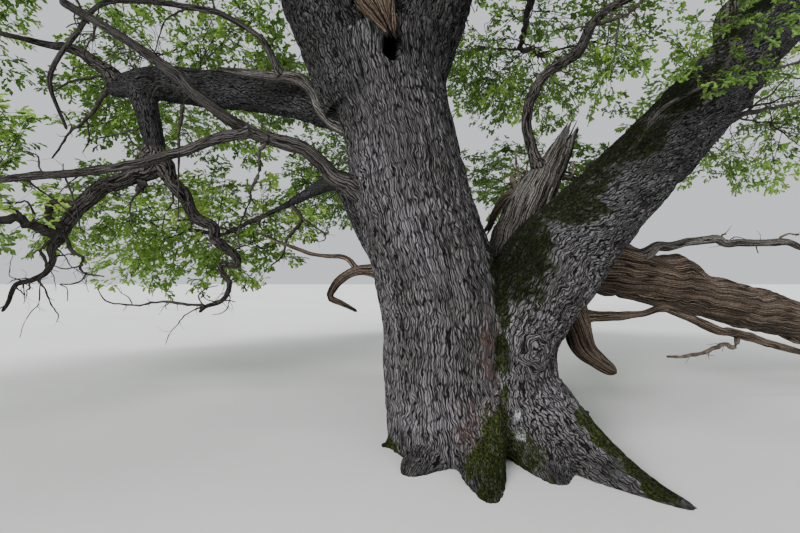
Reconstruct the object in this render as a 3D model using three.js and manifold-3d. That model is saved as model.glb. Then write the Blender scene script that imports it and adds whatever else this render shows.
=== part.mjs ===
// An ancient oak: a waisted trunk that forks low into an upright stem and a great slanting bough, with
// drooping branches, dead limbs and a wide crown. Millimetres, +Z up, the viewer stands towards -Y.
import * as THREE from 'three';
import { mergeVertices } from 'three/addons/utils/BufferGeometryUtils.js';
import Module from 'manifold-3d';

const wasm = await Module();
wasm.setup();

// Trunk
const GAP = 0.3; // air between neighbouring pieces
const LIMB_TOLERANCE = 0.05; // the least detail kept where limbs meet
const CROTCH_HEIGHT = 1750; // the trunk ends here, in two stems
const STEM_TOP_HEIGHT = 3450; // the left stem ends here, in two leaders
const BELOW_GROUND = 400; // deeper than the uncut feet run, before the ground cuts them flat
const EVERYWHERE = 40000; // wider than the whole tree
const LEFT_COLUMN_FACETS = { sides: 16, rings: 8 };
const RIGHT_COLUMN_FACETS = { sides: 14, rings: 13 };
const ROOT_FACETS = { sides: 7, rings: 3 };
const ROOT_SHARES = [0.12, 0.4, 0.7, 1]; // where along its reach a root is shaped
const ROOT_HOLLOW = 2.4; // how sharply a root flattens after it leaves the trunk
const ROOT_DIP = 0.45; // how deep its end lies under the ground, as a share of its thickness
const ROOT_TAPER = 0.55; // what a root loses of its thickness by its end

// Foliage
const SEED_STEP = 1000;
const TIPS_PER_MASS = 8;
const ATTEMPTS = 30; // tips tried in all, as some don't fit
const CANDIDATES = 8; // places drawn for each tip
const TIP_DEPTH = [0.66, 0.98]; // how far out a tip may lie, as a share of the mass's radius
const PATH_WEIGHT = 0.35; // how much a twig prefers a joint near the stem's foot
const TWIG_RADIUS = 14; // of a twig that carries nothing but its own spray
const TWIG_THICKENING = 0.6; // power of the number of sprays that a twig carries
const TWIG_LIFT = 0.1; // how far a twig's elbow is raised, as a share of its length
const TWIG_WANDER = 0.3; // how far it is pushed aside, both ways together
const BEND = 0.02; // share of a path over which its direction is taken
const TWIG_LEAST = 0.5; // share of a twig's path that its spray leaves bare, at least and at most
const TWIG_MOST = 0.9;
const TWIG_JOINTS = [0.3, 0.65]; // where on its bare part further twigs may start
const STEM_JOINTS = [0.4, 0.62, 0.85];
const SPRAY_LENGTH = 1300;
const SPRAY_IN_MASS = 0.72; // the longest spray in a small mass, as a share of its least radius
const SPRAY_WIDTH = 0.38; // half its width, as a share of its length
const SPRAY_THICKNESS = 0.01; // half its thickness, as a share of its length
const SPRAY_WIDEST = 0.45; // share of its length from its root
const SIDE_SPRAYS = [[0.45, 52], [0.75, -58]]; // share of the twig, angle from it in degrees
const SIDE_SPRAY_SWING = 30; // degrees by which that angle may vary, both ways together
const SIDE_SPRAY_SHARE = 0.9; // length of a side spray against the one at the tip
const SPRAY_ROLL = 1.8; // radians that a spray may be tilted, both ways together
// Places tested for being free: shares of a twig, and of a spray with how far out towards its corner
const TWIG_TESTS = [0.35, 0.5, 0.65, 0.8, 0.95];
const SPRAY_TESTS = [
  [0.3, 0], [0.6, 0], [1, 0], [SPRAY_WIDEST, 1], [SPRAY_WIDEST, -1], [0.75, 0.5], [0.75, -0.5],
];
const SPACE_MARGIN = 0.03; // kept free along the border between two masses, as a share of their radius
const LIMB_MARGIN = 60; // kept free between foliage and any limb
const FOLIAGE_TOLERANCE = 6; // the least detail kept where shoots meet
const BALLS_PER_STATION = 6; // how closely limbs are measured when foliage keeps clear of them
const STEM_SUNK = 25; // how far a mass's stem starts inside its bough, before the bough is cut away

const BARK = { color: 0x6b635b, roughness: 0.95, metalness: 0 };
const SMOOTH_BARK = { color: 0x6e6a60, roughness: 0.85, metalness: 0 };
const DEAD_WOOD = { color: 0x7a5d45, roughness: 0.9, metalness: 0 };
const LEAF = { color: 0x6f9a35, roughness: 0.6, metalness: 0 };

// A limb is a row of stations [x, y, z, radius], from its root to its tip.
const LEFT_COLUMN = [
  [-330, 0, -40, 640], [-430, 0, 600, 560], [-470, 0, 1300, 585], [-690, 0, 2150, 555],
  [-850, 0, 2850, 530], [-960, 0, 3300, 560], [-1030, 0, 3700, 620],
];
const RIGHT_COLUMN = [
  [300, 0, -40, 480], [200, 0, 560, 420], [220, 0, 1030, 425], [530, 0, 1580, 480], [860, 50, 1950, 420],
  [1270, 100, 2360, 372], [2240, 300, 3300, 352], [3230, 550, 4300, 315], [4300, 700, 5100, 230],
  [5350, 760, 5500, 150],
];

// Roots: foot of the column they leave, heading in degrees, reach, height where they leave it, thickness.
const LEFT_FOOT = [-330, 0];
const RIGHT_FOOT = [300, 0];
const MIDDLE_FOOT = [-170, 0];
const ROOTS = [
  { foot: RIGHT_FOOT, heading: -58, reach: 1480, rise: 620, thick: 300 },
  { foot: RIGHT_FOOT, heading: -88, reach: 900, rise: 500, thick: 330 },
  { foot: MIDDLE_FOOT, heading: -93, reach: 1180, rise: 900, thick: 270 },
  { foot: LEFT_FOOT, heading: -122, reach: 880, rise: 450, thick: 330 },
  { foot: LEFT_FOOT, heading: -170, reach: 700, rise: 380, thick: 270 },
  { foot: LEFT_FOOT, heading: 114, reach: 1350, rise: 650, thick: 300 },
  { foot: MIDDLE_FOOT, heading: 86, reach: 1250, rise: 700, thick: 320 },
  { foot: RIGHT_FOOT, heading: 44, reach: 1400, rise: 600, thick: 280 },
  { foot: RIGHT_FOOT, heading: -8, reach: 700, rise: 380, thick: 260 },
];

const LIMBS = [
  // The two leaders that the left stem forks into
  { name: 'leader_left', sides: 12, bark: BARK, stations: [
    [-1150, 0, 3150, 440], [-1500, 0, 4150, 480], [-1900, 60, 5200, 400], [-2450, 250, 6500, 300],
    [-3000, 450, 7500, 220]] },
  { name: 'leader_right', sides: 10, bark: BARK, stations: [
    [-880, 0, 3150, 400], [-570, 20, 4150, 380], [-150, 200, 5400, 330], [250, 380, 7000, 260],
    [450, 460, 7900, 200], [500, 430, 8700, 150]] },
  // Living branches on the left, from the high bough down to the tips of its two hanging arms
  { name: 'left_bough', sides: 10, bark: BARK, stations: [
    [-900, 150, 2700, 180], [-1360, 300, 3120, 172], [-2150, 750, 3550, 200], [-3270, 1100, 3820, 215],
    [-4000, 1280, 3960, 195], [-4530, 1400, 3950, 126]] },
  { name: 'hanging_arm', sides: 9, bark: BARK, stations: [
    [-4110, 1300, 3900, 170], [-4020, 1300, 3630, 136], [-3920, 1300, 3200, 124], [-3890, 1300, 2880, 118]] },
  { name: 'hanging_arm_left', sides: 7, bark: BARK, stations: [
    [-3890, 1300, 2960, 118], [-4440, 1200, 2670, 97], [-4780, 1100, 2220, 72], [-5020, 1000, 1620, 41],
    [-5280, 900, 1420, 30], [-5330, 800, 1140, 22]] },
  { name: 'hanging_arm_right', sides: 7, bark: BARK, stations: [
    [-3870, 1300, 2960, 95], [-3550, 1400, 2450, 76], [-3240, 1500, 2000, 72], [-2980, 1550, 1740, 52],
    [-3100, 1550, 1500, 42], [-3390, 1550, 1100, 26]] },
  { name: 'grey_branch', sides: 7, bark: SMOOTH_BARK, stations: [
    [-950, -50, 2150, 95], [-1390, -200, 2410, 72], [-1700, -300, 2670, 61], [-2140, -400, 2790, 56],
    [-2580, -500, 3070, 43], [-2820, -500, 3300, 42], [-3660, -600, 3810, 32]] },
  { name: 'grey_branch_low', sides: 6, bark: SMOOTH_BARK, stations: [
    [-2140, -400, 2790, 47], [-2670, -400, 2640, 45], [-3420, -400, 2450, 38], [-4600, -250, 2390, 30]] },
  { name: 'back_bough_left', sides: 9, bark: BARK, stations: [
    [-750, 300, 1500, 175], [-1090, 550, 1870, 160], [-1270, 700, 2220, 154], [-1480, 920, 2600, 145],
    [-1730, 1200, 2680, 105], [-2360, 1800, 2530, 50], [-2840, 2200, 2420, 36]] },
  // Dead limbs on the left
  { name: 'dead_spur', sides: 6, bark: DEAD_WOOD, stations: [
    [-1250, 60, 2900, 74], [-1530, 100, 3110, 63], [-1840, 200, 3490, 54], [-2390, 300, 3620, 46],
    [-2690, 350, 3680, 31]] },
  { name: 'whip', sides: 5, bark: SMOOTH_BARK, stations: [
    [-2050, 250, 3560, 40], [-2330, 250, 4010, 30], [-2900, 250, 4270, 30], [-3840, 300, 4370, 25],
    [-4250, 400, 4100, 26], [-4600, 500, 3670, 24], [-4560, 700, 3170, 17]] },
  { name: 'dead_crook', sides: 6, bark: DEAD_WOOD, stations: [
    [-800, 200, 1590, 78], [-1260, 300, 1610, 56], [-1460, 300, 1510, 46], [-1560, 300, 1340, 34],
    [-1440, 300, 1270, 26], [-1280, 300, 1180, 15]] },
  { name: 'dead_crook_twig', sides: 5, bark: DEAD_WOOD, stations: [
    [-1290, 300, 1610, 30], [-1430, 350, 1740, 26], [-1820, 500, 1790, 21], [-2500, 800, 2050, 11]] },
  // The broken stump between the stems, its living branch and its torn spur
  { name: 'broken_stump', sides: 10, bark: DEAD_WOOD, stations: [
    [200, 560, 1400, 250], [335, 650, 1830, 215], [695, 750, 2510, 185], [885, 800, 2860, 148],
    [1080, 850, 3200, 90]] },
  { name: 'stump_branch', sides: 6, bark: BARK, stations: [
    [770, 700, 2630, 77], [650, 650, 2820, 65], [530, 560, 3250, 54], [660, 480, 3640, 48],
    [1000, 400, 3870, 52], [1210, 300, 4220, 46], [1670, 200, 4450, 30]] },
  { name: 'stump_spur', sides: 6, bark: DEAD_WOOD, stations: [
    [560, 790, 2440, 68], [380, 850, 2440, 62], [270, 900, 2320, 50], [120, 900, 2020, 30]] },
  // Torn wood in the upper fork
  { name: 'torn_tongue', sides: 6, bark: DEAD_WOOD, stations: [
    [-1180, -330, 4350, 150], [-1020, -530, 3830, 95], [-925, -670, 3480, 28]] },
  // The fallen limb on the right and what hangs from its root
  { name: 'fallen_limb', sides: 12, bark: DEAD_WOOD, stations: [
    [500, 450, 1500, 300], [920, 700, 1690, 331], [1560, 900, 1620, 321], [2890, 1350, 1340, 268],
    [4710, 2000, 870, 265], [6300, 2450, 430, 220], [7700, 2850, 200, 160]] },
  { name: 'fallen_limb_branch', sides: 6, bark: DEAD_WOOD, stations: [
    [1500, 850, 1750, 85], [2170, 780, 1880, 52], [2850, 900, 1940, 52], [3930, 1100, 1890, 45],
    [5400, 1350, 1950, 24]] },
  { name: 'torn_hook', sides: 8, bark: DEAD_WOOD, stations: [
    [960, 640, 1620, 190], [960, 550, 1290, 165], [1060, 540, 850, 135], [1210, 500, 660, 92],
    [1400, 450, 530, 58]] },
  { name: 'torn_hook_branch', sides: 6, bark: DEAD_WOOD, stations: [
    [1060, 560, 1110, 68], [1760, 640, 1140, 40], [2130, 740, 1180, 45], [2950, 1080, 910, 54],
    [4340, 1500, 560, 45]] },
];

// A mass of foliage fills an ellipsoid: centre, then half its width, depth and height. It grows from the tip
// of the limb in on, or from a bough of its own, which leaves that limb at a share of its length.
const MASSES = [
  { name: 'left_low_front', centre: [-6700, 500, 2650], size: [2100, 1700, 1350], on: 'grey_branch_low' },
  { name: 'left_low_back', centre: [-4700, 3500, 2400], size: [2700, 1900, 1250], on: 'back_bough_left' },
  { name: 'left_mid', centre: [-4700, 3800, 5100], size: [2900, 2300, 1700], on: 'left_bough',
    bough: { at: 0.5, thick: 120, rise: 0.1 } },
  { name: 'left_far', centre: [-7300, 1100, 5300], size: [2300, 2500, 1900], on: 'left_bough',
    bough: { at: 0.93, thick: 85, rise: 0.12 } },
  { name: 'left_front_high', centre: [-5500, -2800, 6700], size: [2700, 2500, 1800], on: 'leader_left',
    bough: { at: 0.42, thick: 210, rise: 0.1 } },
  { name: 'left_top', centre: [-4100, 900, 9000], size: [2900, 2900, 2100], on: 'leader_left' },
  { name: 'back_left_low', centre: [-1600, 5700, 3900], size: [2400, 2100, 1700], on: 'left_stem',
    bough: { at: 0.25, thick: 200, rise: 0.06 } },
  { name: 'back_mid', centre: [2100, 4700, 6050], size: [2600, 2300, 1900], on: 'leader_right',
    bough: { at: 0.4, thick: 125, rise: 0.05 } },
  { name: 'back_high', centre: [-900, 4500, 8500], size: [3000, 2700, 2200], on: 'leader_right',
    bough: { at: 0.54, thick: 180, rise: 0.06 } },
  { name: 'back_right', centre: [5700, 4000, 4800], size: [2500, 2200, 1800], on: 'right_bough',
    bough: { at: 0.5, thick: 170, rise: 0.08 } },
  { name: 'back_low_right', centre: [2600, 6150, 3800], size: [2400, 1700, 1400], on: 'right_bough',
    bough: { at: 0.43, thick: 120, rise: -0.05 } },
  { name: 'right_far', centre: [7500, 800, 5800], size: [2400, 2500, 1900], on: 'right_bough' },
  { name: 'right_front', centre: [5100, -3000, 6300], size: [2600, 2400, 1800], on: 'right_bough',
    bough: { at: 0.66, thick: 150, rise: 0.1 } },
  { name: 'right_top', centre: [4700, 1000, 8700], size: [3000, 2900, 2000], on: 'right_bough',
    bough: { at: 0.6, thick: 190, rise: -0.05 } },
  { name: 'front_right_high', centre: [2000, -4100, 8300], size: [2700, 2500, 1900], on: 'leader_right',
    bough: { at: 0.45, thick: 170, rise: 0.06 } },
  { name: 'front_left_high', centre: [-2000, -4200, 8500], size: [2700, 2500, 1900], on: 'leader_left',
    bough: { at: 0.55, thick: 180, rise: 0.08 } },
  { name: 'top_mid', centre: [400, 300, 10600], size: [3600, 3300, 2200], on: 'leader_right' },
  { name: 'near_sprig', centre: [1800, -750, 3400], size: [620, 520, 470], on: 'right_bough',
    tips: 5, bough: { at: 0.235, thick: 34, rise: 0.15 } },
];

const BOUGH_FACETS = { sides: 6, rings: 4 };
const BOUGH_SHARES = [0, 0.22, 0.48, 0.75, 1]; // where along its length a bough is shaped
const BOUGH_TAPER = 0.6; // what a bough loses of its thickness by its tip
const BOUGH_SWAY = 0.07; // sideways bend of a bough, as a share of its length
const BOUGH_ENTRY = 0.86; // where a bough ends, as a share of the mass's radius

const oak = new THREE.Group();
oak.name = 'oak_tree';

// Shapes

function pointOf(station) {
  return new THREE.Vector3(station[0], station[1], station[2]);
}

function spineOf(stations) {
  return new THREE.CatmullRomCurve3(stations.map(pointOf), false, 'catmullrom', 0.5);
}

function radiusAt(stations, t) {
  const along = t * (stations.length - 1);
  const before = Math.min(Math.floor(along), stations.length - 2);
  return THREE.MathUtils.lerp(stations[before][3], stations[before + 1][3], along - before);
}

// A cylinder bent along the stations, with flat ends. extra makes it fatter and longer all round.
function limbGeometry(stations, { sides, rings }, extra = 0) {
  const spine = spineOf(stations);
  const { tangents, normals, binormals } = spine.computeFrenetFrames(rings, false);
  const geometry = new THREE.CylinderGeometry(1, 1, rings, sides, rings);
  const position = geometry.attributes.position;
  for (let i = 0; i < position.count; i += 1) {
    const ring = Math.round(position.getY(i) + rings / 2);
    const t = spine.getUtoTmapping(ring / rings);
    const radius = radiusAt(stations, t) + extra;
    const place = spine.getPoint(t);
    place.addScaledVector(normals[ring], position.getZ(i) * radius);
    place.addScaledVector(binormals[ring], position.getX(i) * radius);
    if (ring === 0) place.addScaledVector(tangents[ring], -extra);
    if (ring === rings) place.addScaledVector(tangents[ring], extra);
    position.setXYZ(i, place.x, place.y, place.z);
  }
  return geometry;
}

function solidOf(geometry) {
  geometry.deleteAttribute('normal');
  geometry.deleteAttribute('uv');
  const merged = mergeVertices(geometry);
  return new wasm.Manifold(new wasm.Mesh({
    numProp: 3,
    vertProperties: merged.attributes.position.array,
    triVerts: new Uint32Array(merged.index.array),
  }));
}

// Everything between two heights
function layer(low, high) {
  const slab = new THREE.BoxGeometry(EVERYWHERE, EVERYWHERE, high - low);
  slab.translate(0, 0, (low + high) / 2);
  return solidOf(slab);
}

function largestPiece(solid) {
  return solid.decompose().reduce((largest, piece) => (piece.volume() > largest.volume() ? piece : largest));
}

function addNode(name, solid, finish) {
  const { vertProperties, triVerts } = solid.getMesh();
  const geometry = new THREE.BufferGeometry();
  geometry.setAttribute('position', new THREE.Float32BufferAttribute(vertProperties, 3));
  geometry.setIndex(new THREE.Uint32BufferAttribute(triVerts, 1));
  geometry.computeVertexNormals();
  const piece = new THREE.Mesh(geometry, new THREE.MeshStandardMaterial(finish));
  piece.name = name;
  oak.add(piece);
}

// Limbs

const limbs = new Map(); // stations and clearance of each limb, for what grows from it
const clearances = []; // the solids so far, each grown by the gap

function addLimb(name, stations, finish, solid, clearance) {
  limbs.set(name, { stations, clearance });
  clearances.push(clearance);
  addNode(name, largestPiece(solid).asOriginal().simplify(LIMB_TOLERANCE), finish);
}

// A limb starts inside the one that carries it, and what is already there is cut away from it.
function growLimb(name, stations, finish, facets) {
  let solid = solidOf(limbGeometry(stations, facets));
  for (const clearance of clearances) solid = solid.subtract(clearance);
  addLimb(name, stations, finish, solid, solidOf(limbGeometry(stations, facets, GAP)));
}

// A root leaves its column steeply, flattens and dips under the ground.
function rootStations({ foot, heading, reach, rise, thick }) {
  const angle = THREE.MathUtils.degToRad(heading);
  return ROOT_SHARES.map((share) => [
    foot[0] + Math.cos(angle) * reach * share,
    foot[1] + Math.sin(angle) * reach * share,
    rise * (1 - share) ** ROOT_HOLLOW - thick * ROOT_DIP * share,
    thick * (1 - ROOT_TAPER * share),
  ]);
}

function columns(extra) {
  const left = solidOf(limbGeometry(LEFT_COLUMN, LEFT_COLUMN_FACETS, extra));
  const right = solidOf(limbGeometry(RIGHT_COLUMN, RIGHT_COLUMN_FACETS, extra));
  return { left, right };
}

// The trunk, the left stem above it and the right bough, which are cut from the two columns
function growTrunk() {
  const { left, right } = columns(0);
  const grown = columns(GAP);
  const roots = ROOTS.map((root) => solidOf(limbGeometry(rootStations(root), ROOT_FACETS)));
  const foot = roots.reduce((all, root) => all.add(root), left.add(right));
  const trunk = largestPiece(foot.intersect(layer(0, CROTCH_HEIGHT)));
  addNode('trunk', trunk.asOriginal().simplify(LIMB_TOLERANCE), BARK);
  clearances.push(grown.left.add(grown.right).intersect(layer(-BELOW_GROUND, CROTCH_HEIGHT + GAP)));
  const stem = left.intersect(layer(CROTCH_HEIGHT + GAP, STEM_TOP_HEIGHT));
  const stemGrown = grown.left.intersect(layer(CROTCH_HEIGHT, STEM_TOP_HEIGHT + GAP));
  addLimb('left_stem', LEFT_COLUMN.slice(2, 6), BARK, stem, stemGrown);
  const bough = right.intersect(layer(CROTCH_HEIGHT + GAP, EVERYWHERE)).subtract(grown.left);
  addLimb('right_bough', RIGHT_COLUMN.slice(3), BARK, bough, grown.right);
}

// Foliage

function seeded(seed) {
  let state = seed;
  return () => {
    state = (state * 1664525 + 1013904223) % 4294967296;
    return state / 4294967296;
  };
}

function centreOf(mass) {
  return new THREE.Vector3(...mass.centre);
}

// 0 at the middle of a mass and 1 on its skin
function depthIn(mass, place) {
  return place.clone().sub(centreOf(mass)).divide(new THREE.Vector3(...mass.size)).length();
}

function inOwnSpace(mass, place) {
  const depth = depthIn(mass, place);
  if (depth > 1) return false;
  return MASSES.every((other) => other === mass || depthIn(other, place) > depth + SPACE_MARGIN);
}

// Balls along every limb, for keeping foliage clear of them
const limbBalls = [];

function addBalls({ stations }) {
  const spine = spineOf(stations);
  const steps = stations.length * BALLS_PER_STATION;
  for (let step = 0; step <= steps; step += 1) {
    limbBalls.push({ centre: spine.getPoint(step / steps), radius: radiusAt(stations, step / steps) });
  }
}

function clearOfLimbs(place) {
  return limbBalls.every(({ centre, radius }) => centre.distanceTo(place) > radius + LIMB_MARGIN);
}

function isFree(mass, place) {
  return inOwnSpace(mass, place) && clearOfLimbs(place);
}

// A twig is straight on either side of the elbow at its middle.
function bent(start, elbow, end) {
  return (t) => (t < 0.5 ? start.clone().lerp(elbow, 2 * t) : elbow.clone().lerp(end, 2 * t - 1));
}

// The freest of a few places near the skin of the mass, away from the tips that are there
function chooseTip(mass, tips, random) {
  let best = null;
  let mostRoom = 0;
  for (let trial = 0; trial < CANDIDATES; trial += 1) {
    const up = 2 * random() - 1;
    const turn = 2 * Math.PI * random();
    const depth = THREE.MathUtils.lerp(TIP_DEPTH[0], TIP_DEPTH[1], random());
    const flat = Math.sqrt(1 - up * up);
    const unit = new THREE.Vector3(Math.cos(turn) * flat, Math.sin(turn) * flat, up).multiplyScalar(depth);
    const place = unit.clone().multiply(new THREE.Vector3(...mass.size)).add(centreOf(mass));
    const room = Math.min(...tips.map((tip) => tip.distanceTo(unit)));
    if (isFree(mass, place) && room > mostRoom) {
      mostRoom = room;
      best = { unit, place };
    }
  }
  return best;
}

// A twig from the joint that is nearest, by air and by the way back to the stem's foot
function twigTo(place, joints, wander) {
  const cost = (joint) => joint.place.distanceTo(place) + PATH_WEIGHT * joint.path;
  const joint = joints.reduce((nearest, other) => (cost(other) < cost(nearest) ? other : nearest));
  const length = joint.place.distanceTo(place);
  const elbow = joint.place.clone().lerp(place, 0.5);
  elbow.addScaledVector(new THREE.Vector3(...wander), TWIG_WANDER * length);
  elbow.z += TWIG_LIFT * length;
  return { from: joint, length, at: bent(joint.place, elbow, place), load: 1 };
}

// The stem runs on from its bough and ends at the middle of the mass.
function stemOf(mass) {
  const foot = mass.foot.clone().addScaledVector(mass.heading, -STEM_SUNK);
  const centre = centreOf(mass);
  const length = foot.distanceTo(centre);
  const elbow = foot.clone().addScaledVector(mass.heading, 0.5 * length);
  return { from: null, length, at: bent(foot, elbow, centre), load: 1 };
}

function jointsOn(twig, shares) {
  const before = twig.from ? twig.from.path : 0;
  return shares.map((share) => ({ twig, place: twig.at(share), path: before + share * twig.length }));
}

// A spray of leaves: a flat, pointed blade from a place on a twig to its tip
function sprayBetween(root, tip, roll) {
  const along = tip.clone().sub(root).normalize();
  const across = new THREE.Vector3(-along.y, along.x, 0).normalize().applyAxisAngle(along, roll);
  return { root, tip, along, across, length: root.distanceTo(tip) };
}

function sprayFits(mass, { root, tip, across, length }) {
  return SPRAY_TESTS.every(([share, out]) => {
    const place = root.clone().lerp(tip, share).addScaledVector(across, out * SPRAY_WIDTH * length);
    return isFree(mass, place);
  });
}

function twigFits(mass, twig) {
  return TWIG_TESTS.every((share) => isFree(mass, twig.at(share)));
}

// Twigs and sprays of one mass, from its stem's foot to its skin
function growTwigs(mass) {
  const random = seeded(mass.seed);
  const stem = stemOf(mass);
  const twigs = [];
  const sprays = [];
  const joints = jointsOn(stem, STEM_JOINTS);
  const tips = [new THREE.Vector3(0, 0, 0)];
  const reach = Math.min(SPRAY_LENGTH, SPRAY_IN_MASS * Math.min(...mass.size));
  const wanted = mass.tips ?? TIPS_PER_MASS;
  for (let attempt = 0; attempt < ATTEMPTS && twigs.length < wanted; attempt += 1) {
    const tip = chooseTip(mass, tips, random);
    const turns = [random() - 0.5, random() - 0.5, random() - 0.5];
    const wander = [random() - 0.5, random() - 0.5, random() - 0.5];
    const twig = tip && twigTo(tip.place, joints, wander);
    if (!twig || !twigFits(mass, twig)) continue;
    twig.end = THREE.MathUtils.clamp(1 - reach / twig.length, TWIG_LEAST, TWIG_MOST);
    twig.spray = sprayBetween(twig.at(twig.end), tip.place, SPRAY_ROLL * turns[0]);
    if (!sprayFits(mass, twig.spray)) continue;
    tips.push(tip.unit);
    twigs.push(twig);
    joints.push(...jointsOn(twig, TWIG_JOINTS.map((share) => share * twig.end)));
    for (let carrier = twig.from.twig; carrier; carrier = carrier.from?.twig) carrier.load += 1;
    SIDE_SPRAYS.forEach(([share, angle], side) => {
      const turn = THREE.MathUtils.degToRad(angle + SIDE_SPRAY_SWING * turns[side + 1]);
      const face = twig.spray.along.clone().cross(twig.spray.across);
      const heading = twig.spray.along.clone().applyAxisAngle(face, turn);
      const root = twig.at(share * twig.end);
      const end = root.clone().addScaledVector(heading, reach * SIDE_SPRAY_SHARE);
      const spray = sprayBetween(root, end, SPRAY_ROLL * turns[side + 1]);
      if (sprayFits(mass, spray)) sprays.push(spray);
    });
  }
  return { stem, twigs, sprays };
}

// A three-sided shoot along a path. A section is [share of the path, half the width, half the thickness],
// and after the last one the shoot closes in a point.
function shootGeometry(at, across, sections) {
  const rings = sections.length;
  const geometry = new THREE.ConeGeometry(1, rings, 3, rings);
  const position = geometry.attributes.position;
  for (let i = 0; i < position.count; i += 1) {
    const ring = Math.round(position.getY(i) + rings / 2);
    if (ring === rings) {
      position.setXYZ(i, ...at(1).toArray());
      continue;
    }
    const [share, width, thickness] = sections[ring];
    const along = at(share + BEND).sub(at(Math.max(share - BEND, 0))).normalize();
    const side = across.clone().addScaledVector(along, -across.dot(along)).normalize();
    const face = side.clone().cross(along);
    const cone = 1 - ring / rings;
    const place = at(share).addScaledVector(side, (position.getX(i) / cone) * width);
    place.addScaledVector(face, (position.getZ(i) / cone) * thickness);
    position.setXYZ(i, place.x, place.y, place.z);
  }
  return geometry;
}

function stemGeometry(stem) {
  const radius = TWIG_RADIUS * stem.load ** TWIG_THICKENING;
  const across = new THREE.Vector3(-1, 1, 0);
  return shootGeometry(stem.at, across, [[0, radius, radius], [0.5, radius, radius]]);
}

// A twig flattens into the spray at its end.
function twigGeometry({ at, end, load, spray }) {
  const root = TWIG_RADIUS * load ** TWIG_THICKENING;
  const half = (root + TWIG_RADIUS) / 2;
  return shootGeometry(at, spray.across, [
    [0, root, root],
    [0.5, half, half],
    [Math.max(end, 0.5 + BEND), TWIG_RADIUS, TWIG_RADIUS],
    [end + SPRAY_WIDEST * (1 - end), SPRAY_WIDTH * spray.length, SPRAY_THICKNESS * spray.length],
  ]);
}

function sprayGeometry({ root, tip, across, length }) {
  return shootGeometry((t) => root.clone().lerp(tip, t), across, [
    [0, TWIG_RADIUS, TWIG_RADIUS],
    [SPRAY_WIDEST, SPRAY_WIDTH * length, SPRAY_THICKNESS * length],
  ]);
}

function growMass(mass) {
  const { stem, twigs, sprays } = growTwigs(mass);
  const shapes = [stemGeometry(stem), ...twigs.map(twigGeometry), ...sprays.map(sprayGeometry)];
  const fused = shapes.map(solidOf).reduce((all, shoot) => all.add(shoot));
  const tidied = fused.asOriginal().simplify(FOLIAGE_TOLERANCE);
  addNode(`foliage_${mass.name}`, largestPiece(tidied.subtract(mass.carrier.clearance)), LEAF);
}

// The bough that carries a mass: from its limb to a little inside the mass's skin
function boughStations(mass) {
  const { at, thick, rise } = mass.bough;
  const start = spineOf(limbs.get(mass.on).stations).getPoint(at);
  const end = centreOf(mass).lerp(start, BOUGH_ENTRY / depthIn(mass, start));
  const length = start.distanceTo(end);
  const side = new THREE.Vector3(start.y - end.y, end.x - start.x, 0).normalize();
  return BOUGH_SHARES.map((share) => {
    const place = start.clone().lerp(end, share);
    place.z += rise * length * Math.sin(Math.PI * share);
    place.addScaledVector(side, BOUGH_SWAY * length * Math.sin(2 * Math.PI * share));
    return [...place.toArray(), thick * (1 - BOUGH_TAPER * share)];
  });
}

growTrunk();
for (const { name, stations, bark, sides } of LIMBS) {
  growLimb(name, stations, bark, { sides, rings: stations.length + 1 });
}
MASSES.forEach((mass, index) => {
  if (mass.bough) growLimb(`bough_${mass.name}`, boughStations(mass), BARK, BOUGH_FACETS);
  mass.carrier = limbs.get(mass.bough ? `bough_${mass.name}` : mass.on);
  const spine = spineOf(mass.carrier.stations);
  mass.foot = spine.getPoint(1);
  mass.heading = spine.getTangent(1);
  mass.seed = SEED_STEP * (index + 1);
});
limbs.forEach(addBalls);
MASSES.forEach(growMass);

export default oak;
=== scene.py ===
"""An ancient oak dressed round its plain solids: furrowed bark, moss, torn dead wood, twigs and leaves."""

import math
from types import SimpleNamespace

import bmesh
import bpy
import numpy as np
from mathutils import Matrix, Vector


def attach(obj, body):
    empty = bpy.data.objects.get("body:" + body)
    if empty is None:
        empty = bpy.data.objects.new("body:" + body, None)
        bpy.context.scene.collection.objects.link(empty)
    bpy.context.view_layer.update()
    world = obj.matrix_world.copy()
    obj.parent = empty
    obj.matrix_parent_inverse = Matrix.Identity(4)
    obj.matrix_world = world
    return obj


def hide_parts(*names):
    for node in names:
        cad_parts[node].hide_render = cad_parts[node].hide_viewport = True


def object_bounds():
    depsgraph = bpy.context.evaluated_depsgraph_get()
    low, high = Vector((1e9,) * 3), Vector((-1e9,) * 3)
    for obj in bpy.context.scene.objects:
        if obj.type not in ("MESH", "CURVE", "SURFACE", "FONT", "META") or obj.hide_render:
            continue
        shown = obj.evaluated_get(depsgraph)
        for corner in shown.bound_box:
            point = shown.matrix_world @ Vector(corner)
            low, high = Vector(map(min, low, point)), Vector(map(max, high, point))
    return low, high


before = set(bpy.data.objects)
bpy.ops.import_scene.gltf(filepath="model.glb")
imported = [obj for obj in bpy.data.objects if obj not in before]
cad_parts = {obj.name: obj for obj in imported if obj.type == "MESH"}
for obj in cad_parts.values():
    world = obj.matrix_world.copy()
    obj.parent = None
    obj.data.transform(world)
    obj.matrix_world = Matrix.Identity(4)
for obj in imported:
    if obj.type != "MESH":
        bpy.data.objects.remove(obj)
solid_low, solid_high = np.array(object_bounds())

MM = 0.001
VIEWER = np.array([-0.85, -4.2, 1.5])  # where the eye stands, in metres
FOCAL_LENGTH = 20.0  # millimetres
SENSOR_WIDTH = 36
LOOK_UP = math.radians(1.74)

# The limbs of the solid model: stations [x, y, z, radius] in millimetres, from the root to the tip

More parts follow.
